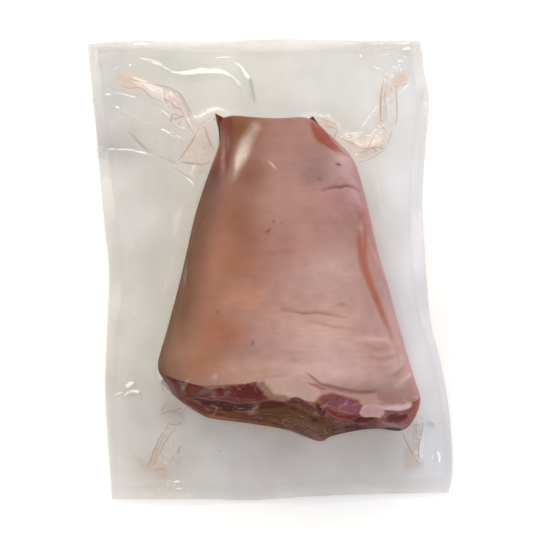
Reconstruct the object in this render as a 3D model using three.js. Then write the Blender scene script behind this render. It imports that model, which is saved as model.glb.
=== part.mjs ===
// A smoked pork knuckle, sealed under vacuum in a clear flat pouch and lying on its underside.
// The film has no air under it, so one closed solid has the form of both: the knuckle's hump, with its
// sawn end sloping down at the front and its shank end at the back, and the pouch's flat border round it.
// Units are millimetres. X runs across the knuckle, +Y from the sawn end to the shank, +Z is up.
import * as THREE from 'three';
import { ParametricGeometry } from 'three/addons/geometries/ParametricGeometry.js';
import { mergeGeometries, mergeVertices } from 'three/addons/utils/BufferGeometryUtils.js';

// The number of faces across and along the knuckle, and outwards over the pouch's border, how much they crowd
// towards the knuckle's outline, and how near each other vertices have to be to become one.
const FACES_ACROSS = 30;
const FACES_ALONG = 32;
const BORDER_RINGS = 15;
const OUTLINE_CROWDING = 0.75;
const RING_CROWDING = 1.25;
const MERGE_WITHIN = 1e-3;
// How much a value slows down at each of its points: 0 is straight lines between them.
const VALUE_EASE = 0.4;

// The knuckle: its height over the table along its length, as pairs of y and z, and the height of the line
// round its side where the upper and the lower film meet. It rises and falls over these shares of its length.
const CREST = [[-90, 68], [-62, 76], [-30, 77], [0, 73.5], [30, 66], [60, 57], [90, 50]];
const SEAM_HEIGHT = 24;
const SEAM_HEIGHT_SAWN_END = 13;
const SEAM_HEIGHT_SHANK_END = 21;
const SEAM_RISES = [0.02, 0.3];
const SEAM_FALLS = [0.75, 1];
// How square the section is: 2 is an ellipse, and more is boxier. The right side falls off steeper, and at
// the shank's end the film stands out to two sharp corners.
const SQUARE_LEFT = 2.35;
const SQUARE_RIGHT = 2.9;
const SQUARE_SHANK_END = 6;
const SQUARE_TOP = 2.1;
const SIDES_BLEND = [-0.4, 0.4];
const SHANK_END_BLEND = [0.7, 1];
// The sawn face slopes, and the rind's edge round it stands this share of the height up.
const SAWN_EDGE_SHARE = 0.8;
const SAWN_FACE_CURVE = 0.72;
const SAWN_SHOULDER = 12;
const SHANK_EDGE_ROUNDING = 3.5;
const SHANK_EDGE_CURVE = 0.45;
// The underside is flat over this share of its section, and its corners are this square.
const UNDERSIDE_FLAT_SHARE = 0.72;
const UNDERSIDE_SQUARE_SIDES = 2.6;
const UNDERSIDE_SQUARE_ENDS = 7;
const UNDERSIDE_END_CURVE = 0.6;

// The knuckle's outline seen from above, in four stretches that share their ends.
const SHANK_LEFT = [-31.5, 88];
const SHANK_RIGHT = [31, 89];
const SAWN_LEFT = [-66, -78];
const SAWN_RIGHT = [95.5, -95];
const LEFT_SIDE = [SAWN_LEFT, [-68, -66], [-61, -42], [-55, -19], [-50, 4], [-45, 27], [-38, 50],
  [-31.5, 68], [-29.5, 78], SHANK_LEFT];
const RIGHT_SIDE = [SAWN_RIGHT, [96.5, -86], [92, -72], [82.5, -41], [76.5, -17], [70.5, 4], [66, 27],
  [60.5, 50], [55.5, 63], [46, 74], [37, 82], SHANK_RIGHT];
const SAWN_EDGE = [SAWN_LEFT, [-58.5, -85.7], [-41, -97.5], [-31, -100.7], [-11, -103.2], [9, -106.3],
  [21, -110], [33.8, -114.4], [42, -111], [58.5, -107.5], [70, -106.7], [84, -107.8], [91, -103.5],
  SAWN_RIGHT];
const SHANK_EDGE = [SHANK_LEFT, [-20, 87.8], [-5, 86.4], [10, 85.8], [22, 87], SHANK_RIGHT];
// How far the rind's edge at the top of the sawn face lies behind its lower edge, by x.
const SAWN_FACE_RUN = [[-66, 5], [-50, 12], [-31, 17], [-8, 21], [9, 27], [30, 33], [42, 25], [60, 18],
  [80, 18], [96, 8]];

// How far the muscles stand out of the sawn face, by x.
const MUSCLES = [[-66, 0], [-55, 2.5], [-43, 0], [-30, 0.5], [-14, 3], [4, 1], [18, 0], [44, 3.2], [62, 0.4],
  [80, 2.6], [96, 0]];

// The pouch, as it lies after the vacuum has drawn its sides in. Its border slopes down from the knuckle over
// a short way, and its edge lies in low waves, with its corners on the table.
const FRONT_LEFT = [-96, -149.2];
const FRONT_RIGHT = [114.4, -145];
const BACK_LEFT = [-117.3, 147.4];
const BACK_RIGHT = [101.8, 149.8];
const POUCH_LEFT = [FRONT_LEFT, [-99, -115], [-101.5, -78], [-100.5, -40], [-100.5, -4], [-103.5, 25],
  [-107, 55], [-112, 103], BACK_LEFT];
const POUCH_RIGHT = [FRONT_RIGHT, [117.3, -128], [115.5, -92], [110.5, -62], [105.7, -40], [103, -10],
  [101.2, 31], [102.3, 61], [106.4, 108], [104, 127], BACK_RIGHT];
const POUCH_FRONT = [FRONT_LEFT, [-35, -149.2], [-10, -149.8], [34, -147.3], [65, -146.1], FRONT_RIGHT];
const POUCH_BACK = [BACK_LEFT, [-96, 148.8], [-82, 149.4], [-43, 148.8], [-4, 149.5], [55, 149.8], BACK_RIGHT];
const BORDER_THICKNESS = 1;
const POUCH_EDGE_HEIGHT = 3.6;
const POUCH_EDGE_WAVE = 1.5;
const POUCH_EDGE_WAVES = 9;
const POUCH_EDGE_WAVES_START = 0.8;
const POUCH_CORNER_DROP = 1.6;
const SLOPE_AT_SIDES = 12;
const SLOPE_AT_ENDS = 5;
const SLOPE_BLEND = 8;

// The pleats where the slack film gathers. Five stand up at the knuckle's corners like tents, and the others
// are rolls that lie on the border, towards the pouch's corners. Each has a route, and a width and a height
// at its start and at its end. The film's underside rises less than its upper side.
const PLEATS = [
  { route: [SHANK_LEFT, [-42, 89], [-54, 97]], widths: [13, 9], heights: [25, 1] },
  { route: [[-40, 88], [-54, 69]], widths: [9, 8], heights: [4, 1] },
  { route: [SHANK_RIGHT, [45, 84], [58, 78]], widths: [13, 9], heights: [25, 1] },
  { route: [[-58, -84], [-61, -97]], widths: [12, 9], heights: [6, 1] },
  { route: [[93, -94], [97, -104]], widths: [12, 9], heights: [6, 1] },
  { route: [[-44, 88], [-58, 103], [-75, 113.5], [-95, 122]], widths: [6, 9], heights: [2, 2] },
  { route: [[-41.5, 89], [-46, 65]], widths: [3, 10], heights: [1.5, 1.5] },
  { route: [[47, 85], [64, 76.5], [79, 86]], widths: [6, 6], heights: [2, 2] },
  { route: [[79, 87], [79.7, 108], [82, 128]], widths: [6, 7], heights: [1.6, 1.6] },
  { route: [[-66, -96], [-57, -95.5], [-53, -99]], widths: [5, 7], heights: [1.8, 1.8] },
  { route: [[-57, -102], [-65, -123], [-70, -132]], widths: [6, 9], heights: [1.7, 1.7] },
  { route: [[97, -99], [95, -112], [93, -130]], widths: [4, 6], heights: [1.5, 1.5] },
];
const PLEAT_STEPS = 24;
const PLEAT_FALL = 2;
const PLEAT_LIFT_UNDER = 0.55;
const PLEAT_FADE = 0.12;

const clamp = THREE.MathUtils.clamp;
const lerp = THREE.MathUtils.lerp;
const smoothstep = THREE.MathUtils.smoothstep;

// A smooth curve through a list of points.
function curveThrough(points) {
  return new THREE.SplineCurve(points.map(([x, y]) => new THREE.Vector2(x, y)));
}

// A smooth value through pairs of place and value.
function valueAlong(pairs) {
  return (place) => {
    const last = pairs.length - 1;
    const here = clamp(place, pairs[0][0], pairs[last][0]);
    const next = Math.max(1, pairs.findIndex(([x]) => x >= here));
    const [[x0, v0], [x1, v1]] = [pairs[next - 1], pairs[next]];
    return lerp(v0, v1, lerp((here - x0) / (x1 - x0), smoothstep(here, x0, x1), VALUE_EASE));
  };
}

const leftSide = curveThrough(LEFT_SIDE);
const rightSide = curveThrough(RIGHT_SIDE);
const sawnEdge = curveThrough(SAWN_EDGE);
const shankEdge = curveThrough(SHANK_EDGE);
const pouchLeft = curveThrough(POUCH_LEFT);
const pouchRight = curveThrough(POUCH_RIGHT);
const pouchFront = curveThrough(POUCH_FRONT);
const pouchBack = curveThrough(POUCH_BACK);
const crestHeight = valueAlong(CREST);
const sawnFaceRun = valueAlong(SAWN_FACE_RUN);
const muscleBulge = valueAlong(MUSCLES);
const pleats = PLEATS.map((pleat) => (
  { ...pleat, line: curveThrough(pleat.route).getSpacedPoints(PLEAT_STEPS) }));

// Both shares run from 0 to 1. Faces crowd towards the outline, where the sides are steep.
const crowd = (share) => 0.5 - 0.5 * lerp(1 - 2 * share, Math.cos(Math.PI * share), OUTLINE_CROWDING);

// The place over the knuckle at these shares of its width and length, seen from above.
function placeOverKnuckle(across, along) {
  const left = leftSide.getPointAt(along);
  const right = rightSide.getPointAt(along);
  const front = sawnEdge.getPointAt(across);
  const back = shankEdge.getPointAt(across);
  const sides = left.lerp(right, across);
  const ends = front.lerp(back, along);
  const frontCorners = new THREE.Vector2(...SAWN_LEFT).lerp(new THREE.Vector2(...SAWN_RIGHT), across);
  const backCorners = new THREE.Vector2(...SHANK_LEFT).lerp(new THREE.Vector2(...SHANK_RIGHT), across);
  return sides.add(ends).sub(frontCorners.lerp(backCorners, along));
}

// The line where the two films meet at the knuckle's side.
function seamHeight(along) {
  const front = lerp(SEAM_HEIGHT_SAWN_END, SEAM_HEIGHT, smoothstep(along, ...SEAM_RISES));
  return lerp(front, SEAM_HEIGHT_SHANK_END, smoothstep(along, ...SEAM_FALLS));
}

// The round section, from 0 at the sides to 1 at the crest.
function section(across, along) {
  const off = 2 * across - 1;
  const sides = lerp(SQUARE_LEFT, SQUARE_RIGHT, smoothstep(off, ...SIDES_BLEND));
  const square = lerp(sides, SQUARE_SHANK_END, smoothstep(along, ...SHANK_END_BLEND));
  return Math.pow(Math.max(0, 1 - Math.pow(Math.abs(off), square)), 1 / SQUARE_TOP);
}

// The slope of the sawn face and the rounded edge at the shank, from 0 at the ends to 1.
function endShape(x, fromFront, fromBack) {
  const run = sawnFaceRun(x);
  const face = SAWN_EDGE_SHARE * Math.pow(clamp(fromFront / run, 0, 1), SAWN_FACE_CURVE);
  const shoulder = (1 - SAWN_EDGE_SHARE) * (1 - Math.exp(-Math.max(0, fromFront - run) / SAWN_SHOULDER));
  const edge = clamp(fromBack / SHANK_EDGE_ROUNDING, 0, 1);
  return (face + shoulder) * Math.pow(1 - Math.pow(1 - edge, 3), SHANK_EDGE_CURVE);
}

// The upper side, with the film's tents at its corners, and the muscles that stand out of the sawn face.
function upperPoint(across, along) {
  const place = placeOverKnuckle(across, along);
  const length = shankEdge.getPointAt(across).y - sawnEdge.getPointAt(across).y;
  const seam = seamHeight(along) + BORDER_THICKNESS / 2;
  const ends = endShape(place.x, along * length, (1 - along) * length);
  const round = section(across, along);
  const hump = (crestHeight(place.y) - seam) * round * ends;
  const upTheFace = clamp(along * length / sawnFaceRun(place.x), 0, 1);
  const bulge = muscleBulge(place.x) * round * Math.sin(Math.PI * upTheFace);
  const height = seam + Math.max(hump, pleatHeight(place.x, place.y));
  return new THREE.Vector3(place.x, place.y - bulge, height);
}

// The underside is round at its sides and flat where it lies on the table.
function lowerHeight(across, along) {
  const off = Math.abs(2 * across - 1);
  const offEnd = Math.abs(2 * along - 1);
  const roundSides = Math.sqrt(Math.max(0, 1 - off ** UNDERSIDE_SQUARE_SIDES));
  const roundEnds = Math.pow(Math.max(0, 1 - offEnd ** UNDERSIDE_SQUARE_ENDS), UNDERSIDE_END_CURVE);
  const round = roundSides * roundEnds;
  return (seamHeight(along) - BORDER_THICKNESS / 2) * (1 - Math.min(1, round / UNDERSIDE_FLAT_SHARE));
}

// How high the gathered film stands at this place.
function pleatHeight(x, y) {
  let highest = 0;
  for (const { line, widths, heights } of pleats) {
    line.forEach((point, i) => {
      const share = i / (line.length - 1);
      const width = lerp(widths[0], widths[1], share);
      const height = lerp(heights[1], heights[0], (1 - share) ** PLEAT_FALL);
      const near = Math.max(0, 1 - Math.hypot(x - point.x, y - point.y) / width);
      highest = Math.max(highest, height * smoothstep(near, 0, 1));
    });
  }
  return highest;
}

// Once round the knuckle's outline, as shares of its width and length at each corner of a face.
function outlineShares() {
  const shares = [];
  for (let i = 0; i < FACES_ACROSS; i++) shares.push([crowd(i / FACES_ACROSS), 0]);
  for (let i = 0; i < FACES_ALONG; i++) shares.push([1, crowd(i / FACES_ALONG)]);
  for (let i = FACES_ACROSS; i > 0; i--) shares.push([crowd(i / FACES_ACROSS), 1]);
  for (let i = FACES_ALONG; i > 0; i--) shares.push([0, crowd(i / FACES_ALONG)]);
  return shares;
}

function pouchEdgePoint(across, along) {
  if (along === 0) return pouchFront.getPointAt(across);
  if (along === 1) return pouchBack.getPointAt(across);
  return across === 0 ? pouchLeft.getPointAt(along) : pouchRight.getPointAt(along);
}

// The middle of the pouch's border, from 0 at the knuckle to 1 at the pouch's edge.
function borderPlace(outlineShare, outwards) {
  const [across, along] = outlineShare;
  const start = placeOverKnuckle(across, along);
  const end = pouchEdgePoint(across, along);
  const place = start.clone().lerp(end, outwards);
  const corner = (2 * across - 1) ** 2 * (2 * along - 1) ** 2;
  const turn = Math.atan2(place.y, place.x);
  const wave = POUCH_EDGE_WAVE * Math.sin(POUCH_EDGE_WAVES * turn + POUCH_EDGE_WAVES_START);
  const edge = POUCH_EDGE_HEIGHT + wave * (1 - corner) - POUCH_CORNER_DROP * corner;
  const slope = lerp(SLOPE_AT_SIDES, SLOPE_AT_ENDS, (2 * along - 1) ** SLOPE_BLEND);
  const downTheSlope = Math.min(1, outwards * start.distanceTo(end) / slope);
  const height = lerp(edge, seamHeight(along), (1 - downTheSlope) ** 2);
  return new THREE.Vector3(place.x, place.y, height);
}

function upperSurface(u, v, target) {
  target.copy(upperPoint(crowd(u), crowd(v)));
}

function lowerSurface(u, v, target) {
  const [across, along] = [crowd(1 - u), crowd(v)];
  const place = placeOverKnuckle(across, along);
  target.set(place.x, place.y, lowerHeight(across, along));
}

// The border runs out along its underside, round the pouch's edge and back over its upper face.
function borderSurface(shares) {
  return (u, v, target) => {
    const step = Math.round(v * (2 * BORDER_RINGS + 1));
    const under = step <= BORDER_RINGS;
    const ring = under ? step : 2 * BORDER_RINGS + 1 - step;
    const outwards = (ring / BORDER_RINGS) ** RING_CROWDING;
    const share = shares[Math.round(u * shares.length) % shares.length];
    const middle = borderPlace(share, outwards);
    const pleat = pleatHeight(middle.x, middle.y) * smoothstep(1 - outwards, 0, PLEAT_FADE);
    const underPleat = pleat * PLEAT_LIFT_UNDER * smoothstep(outwards, 0, PLEAT_FADE);
    const lift = under ? underPleat - BORDER_THICKNESS / 2 : pleat + BORDER_THICKNESS / 2;
    target.set(middle.x, middle.y, middle.z + lift);
  };
}

function packGeometry() {
  const shares = outlineShares();
  const shells = [
    new ParametricGeometry(upperSurface, FACES_ACROSS, FACES_ALONG),
    new ParametricGeometry(lowerSurface, FACES_ACROSS, FACES_ALONG),
    new ParametricGeometry(borderSurface(shares), shares.length, 2 * BORDER_RINGS + 1),
  ];
  for (const shell of shells) {
    shell.deleteAttribute('normal');
    shell.deleteAttribute('uv');
  }
  const pack = mergeVertices(mergeGeometries(shells), MERGE_WITHIN);
  pack.computeBoundingBox();
  const middle = pack.boundingBox.getCenter(new THREE.Vector3());
  pack.translate(-middle.x, -middle.y, 0);
  pack.computeVertexNormals();
  return pack;
}

const group = new THREE.Group();
const smokedRind = new THREE.MeshStandardMaterial({ color: 0xb48b7b, roughness: 0.3, metalness: 0 });
const pack = new THREE.Mesh(packGeometry(), smokedRind);
pack.name = 'packed_knuckle';
group.add(pack);

export default group;
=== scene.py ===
import math
import random

import bmesh
import bpy
import numpy as np
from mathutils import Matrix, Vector, noise
from mathutils.bvhtree import BVHTree


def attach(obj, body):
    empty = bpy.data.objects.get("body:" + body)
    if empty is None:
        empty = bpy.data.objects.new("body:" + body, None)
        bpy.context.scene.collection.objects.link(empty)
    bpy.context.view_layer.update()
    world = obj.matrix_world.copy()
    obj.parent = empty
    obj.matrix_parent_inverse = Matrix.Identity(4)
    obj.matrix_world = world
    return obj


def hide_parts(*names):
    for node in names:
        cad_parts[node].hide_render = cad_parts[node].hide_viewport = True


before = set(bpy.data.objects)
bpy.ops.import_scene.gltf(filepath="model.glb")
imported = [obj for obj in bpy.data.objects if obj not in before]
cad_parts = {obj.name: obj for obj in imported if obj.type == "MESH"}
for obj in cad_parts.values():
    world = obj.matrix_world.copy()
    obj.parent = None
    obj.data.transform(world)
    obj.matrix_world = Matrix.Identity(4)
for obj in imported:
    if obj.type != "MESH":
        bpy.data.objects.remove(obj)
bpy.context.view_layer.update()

# The form under the film. A pork knuckle is a tapering cylinder of meat round the leg bones, in its rind,
# sawn across at the thick end. The vacuum presses the film on to the meat, so that the two share this form:
# an outline seen from above, and a height over the table at each place. Lengths are in metres from here on.
MM = 0.001
CREST = [(-90, 68), (-62, 76), (-30, 77), (0, 73.5), (30, 66), (60, 57), (90, 50)]
SEAM_HEIGHT, SEAM_HEIGHT_SAWN_END, SEAM_HEIGHT_SHANK_END = 24 * MM, 13 * MM, 21 * MM
# How square its sections are: 2 would be an ellipse.
SQUARE_LEFT, SQUARE_RIGHT, SQUARE_SHANK_END, SQUARE_TOP = 2.35, 2.9, 6, 2.1
SQUARE_UNDERSIDE, SQUARE_UNDERSIDE_ENDS = 2.6, 7
SAWN_EDGE_SHARE, SAWN_FACE_CURVE, SAWN_SHOULDER = 0.8, 0.72, 12 * MM
SHANK_EDGE_ROUNDING, SHANK_EDGE_CURVE = 3.5 * MM, 0.45
UNDERSIDE_FLAT_SHARE = 0.72
SHANK_LEFT, SHANK_RIGHT, SAWN_LEFT, SAWN_RIGHT = (-31.5, 88), (29.8, 88), (-66, -78), (95.5, -95)
LEFT_SIDE = [SAWN_LEFT, (-68, -66), (-61, -42), (-55, -19), (-50, 4), (-45, 27), (-38, 50), (-31.5, 68),
             (-29.5, 78), SHANK_LEFT]
RIGHT_SIDE = [SAWN_RIGHT, (96.5, -86), (92, -72), (82.5, -41), (76.5, -17), (70.5, 4), (66, 27), (60.5, 50),
              (55.5, 63), (46, 74), (37, 82), SHANK_RIGHT]
SAWN_EDGE = [SAWN_LEFT, (-58.5, -85.7), (-41, -97.5), (-31, -100.7), (-11, -103.2), (9, -106.3), (21, -110),
             (33.8, -114.4), (42, -111), (58.5, -107.5), (70, -106.7), (84, -107.8), (91, -103.5), SAWN_RIGHT]
SHANK_EDGE = [SHANK_LEFT, (-20, 87.8), (-5, 86.4), (10, 85.8), (22, 87), SHANK_RIGHT]
SAWN_FACE_RUN = [(-66, 5), (-50, 12), (-31, 17), (-8, 21), (9, 27), (30, 33), (42, 25), (60, 18), (80, 18),
                 (96, 8)]
MUSCLE_BULGE = [(-66, 0), (-55, 2.5), (-43, 0), (-30, 0.5), (-14, 3), (4, 1), (18, 0), (44, 3.2), (62, 0.4),
                (80, 2.6), (96, 0)]


def mix(start, end, share):
    return start + (end - start) * share


def ease(place, start, end):
    share = np.clip((place - start) / (end - start), 0, 1)
    return share * share * (3 - 2 * share)


def curve_through(points):
    """A smooth curve through points in millimetres: a share of its length gives x and y in metres."""
    knots = np.array(points, float) * MM
    around = np.vstack([knots[:1], knots, knots[-1:]])
    share = np.linspace(0, 1, 24, endpoint=False)[:, None]
    fine = [0.5 * (2 * b + (c - a) * share + (2 * a - 5 * b + 4 * c - d) * share ** 2
                   + (3 * b - a - 3 * c + d) * share ** 3)
            for a, b, c, d in zip(around, around[1:], around[2:], around[3:])]
    fine = np.vstack(fine + [knots[-1:]])
    steps = np.linalg.norm(np.diff(fine, axis=0), axis=1)
    lengths = np.concatenate([[0], np.cumsum(steps)])

    def at(share):
        place = np.asarray(share) * lengths[-1]
        return np.stack([np.interp(place, lengths, fine[:, axis]) for axis in (0, 1)], axis=-1)
    return at


def value_along(pairs):
    """A smooth value through pairs of place and value, both in millimetres."""
    places, values = np.array(pairs, float).T * MM
    slopes = np.gradient(values, places)

    def at(place):
        after = np.clip(np.searchsorted(places, place), 1, len(places) - 1)
        step = places[after] - places[after - 1]
        share = np.clip((place - places[after - 1]) / step, 0, 1)
        rise = share * share * (3 - 2 * share)
        lean = share * (1 - share) * step
        return (mix(values[after - 1], values[after], rise)
                + lean * ((1 - share) * slopes[after - 1] - share * slopes[after]))
    return at


left_side, right_side = curve_through(LEFT_SIDE), curve_through(RIGHT_SIDE)
sawn_edge, shank_edge = curve_through(SAWN_EDGE), curve_through(SHANK_EDGE)
crest_height, sawn_face_run = value_along(CREST), value_along(SAWN_FACE_RUN)
muscle_bulge = value_along(MUSCLE_BULGE)


def seen_from_above(across, along):
    """The place over the knuckle at these shares of its width and length."""
    across, along = across[:, None], along[:, None]
    sides = mix(left_side(along[:, 0]), right_side(along[:, 0]), across)
    ends = mix(sawn_edge(across[:, 0]), shank_edge(across[:, 0]), along)
    front = mix(np.array(SAWN_LEFT) * MM, np.array(SAWN_RIGHT) * MM, across)
    back = mix(np.array(SHANK_LEFT) * MM, np.array(SHANK_RIGHT) * MM, across)
    return sides + ends - mix(front, back, along)


def seam_height(along):
    front = mix(SEAM_HEIGHT_SAWN_END, SEAM_HEIGHT, ease(along, 0.02, 0.3))
    return mix(front, SEAM_HEIGHT_SHANK_END, ease(along, 0.75, 1))


def length_at(across):
    return shank_edge(across)[:, 1] - sawn_edge(across)[:, 1]


def upper_form(across, along):
    place = seen_from_above(across, along)
    off = 2 * across - 1
    sides = mix(SQUARE_LEFT, SQUARE_RIGHT, ease(off, -0.4, 0.4))
    square = mix(sides, SQUARE_SHANK_END, ease(along, 0.7, 1))
    section = np.maximum(0, 1 - np.abs(off) ** square) ** (1 / SQUARE_TOP)
    length = length_at(across)
    run = sawn_face_run(place[:, 0])
    up_the_face = np.clip(along * length / run, 0, 1)
    past_the_face = np.maximum(0, along * length - run)
    face = SAWN_EDGE_SHARE * up_the_face ** SAWN_FACE_CURVE
    shoulder = (1 - SAWN_EDGE_SHARE) * (1 - np.exp(-past_the_face / SAWN_SHOULDER))
    edge = np.clip((1 - along) * length / SHANK_EDGE_ROUNDING, 0, 1)
    ends = (face + shoulder) * (1 - (1 - edge) ** 3) ** SHANK_EDGE_CURVE
    seam = seam_height(along)
    bulge = muscle_bulge(place[:, 0]) * section * np.sin(np.pi * up_the_face)
    height = seam + (crest_height(place[:, 1]) - seam) * section * ends
    return np.column_stack([place[:, 0], place[:, 1] - bulge, height])


def lower_form(across, along):
    place = seen_from_above(across, along)
    off, off_end = np.abs(2 * across - 1), np.abs(2 * along - 1)
    round_sides = np.sqrt(np.maximum(0, 1 - off ** SQUARE_UNDERSIDE))
    round_sides = round_sides * np.maximum(0, 1 - off_end ** SQUARE_UNDERSIDE_ENDS) ** 0.6
    height = seam_height(along) * (1 - np.minimum(1, round_sides / UNDERSIDE_FLAT_SHARE))
    return np.column_stack([place[:, 0], place[:, 1], height])


def add_grid(mesh, columns, rows, surface, inside_out=False):
    """Adds a grid to a mesh and moves each of its vertices to where surface puts its two shares."""
    verts = bmesh.ops.create_grid(mesh, x_segments=columns, y_segments=rows, size=0.5)["verts"]
    shares = np.array([vertex.co[:2] for vertex in verts]) + 0.5
    for vertex, place in zip(verts, surface(shares[:, 0], shares[:, 1])):
        vertex.co = place
    if inside_out:
        faces = {face for vertex in verts for face in vertex.link_faces}
        bmesh.ops.reverse_faces(mesh, faces=list(faces))
    return verts, shares


def shape_of(mesh):
    """The shape of a mesh, to measure heights on."""
    mesh.normal_update()
    return BVHTree.FromBMesh(mesh)


def on_rim(u, v):
    return (u < 1e-6) | (u > 1 - 1e-6) | (v < 1e-6) | (v > 1 - 1e-6)


def finish_piece(name, mesh, materials):
    """Closes a mesh's seams, makes it a smooth object and says what it stands for."""
    bmesh.ops.remove_doubles(mesh, verts=mesh.verts, dist=1e-6)
    piece = bpy.data.objects.new(name, bpy.data.meshes.new(name))
    mesh.to_mesh(piece.data)
    mesh.free()
    for material in materials:
        piece.data.materials.append(material)
    piece.data.shade_smooth()
    bpy.context.scene.collection.objects.link(piece)
    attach(piece, "root")
    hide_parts("packed_knuckle")
    return piece


def let_light_through(piece):
    """Film this close to the meat, its juice and its creases throw no shadow to speak of."""
    piece.visible_shadow = False


# The knuckle: one piece of smoked pork with its rind on, 163 mm wide and 200 mm long. It is brown at its left
# side, where the smoke was thickest and painted shade darkens it further, and pink on top. The saw has left a
# sloping face of dark muscles, with creamy fat between them and under the rind. It lies half a millimetre
# inside the film.
FILM_GAP = 0.5 * MM
COLUMNS, FACE_ROWS, RIND_ROWS = 250, 84, 196
FACE_SHARE = FACE_ROWS / (FACE_ROWS + RIND_ROWS)
RIND = "#956E66"
# Each patch of the rind's colour: x, y, half its width and half its length in mm, a colour and its strength.
# The pale patches along the rind's edge over the sawn face and low on the right are partly painted light: a
# highlight along that edge and a sheen.
RIND_PATCHES_AND_PAINTED_SHEEN = [
    (-18, 12, 18, 29, "#724128", 0.9), (-30, -10, 15, 25, "#966957", 0.9), (-15, -11, 15, 12, "#8E563D", 0.6),
    (-16, 76, 15, 17, "#683B14", 0.9), (-9, 45, 12, 12, "#6F4332", 0.9), (12, 29, 17, 21, "#9A756A", 0.8),
    (-31, -34, 10, 8, "#875C49", 0.9), (-13, -34, 18, 8, "#A8745D", 0.8), (-30, -49, 15, 8, "#93614A", 0.9),
    (-22, -55, 13, 8, "#8D4D2F", 0.8), (15, -7, 17, 13, "#8E5A51", 0.7), (39, -19, 29, 21, "#AE8E86", 0.95),
    (39, 35, 17, 12, "#A57B77", 0.8), (31, 52, 12, 12, "#876968", 0.9), (28, 43, 7, 7, "#85645E", 0.7),
    (49, 56, 8, 12, "#B79998", 0.9), (50, 29, 12, 8, "#976D6B", 0.8), (56, 39, 7, 10, "#AC8E90", 0.8),
    (38, -58, 42, 21, "#C49F94", 0.95), (40, -64, 12, 7, "#BEA19F", 0.6), (21, -77, 50, 8, "#DDB9B4", 0.8),
    (-45, -70, 24, 13, "#996342", 0.9), (-53, -61, 10, 15, "#BE9180", 0.9), (-6, -77, 25, 7, "#B98C70", 0.7),
    (63, -52, 12, 8, "#A27976", 0.7), (74, -34, 8, 17, "#A48A8A", 0.8), (80, -58, 12, 25, "#BA9C95", 0.9),
    (-50, -25, 9, 40, "#774D15", 0.7), (-41, 30, 7, 30, "#7D4D2C", 0.7), (-60, -62, 8, 18, "#976C4C", 0.6),
    (-33, 60, 5, 22, "#3D1212", 0.6),
]
# The colours along the two sides: pale at the right, and at the left a painted shade where the side curves
# down, and the smoked edge, smoke brown with painted shade in it. Each starts at one share of the width and
# is full at another, and has a colour and a strength.
RIND_SIDES_AND_PAINTED_SHADE = [(0.93, 0.99, "#AF7D7E", 0.7), (0.2, 0.06, "#1F1212", 0.4), (0.075, 0.0, "#634130", 1)]
UNDERSIDE_RIND = "#A87C66"
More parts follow.
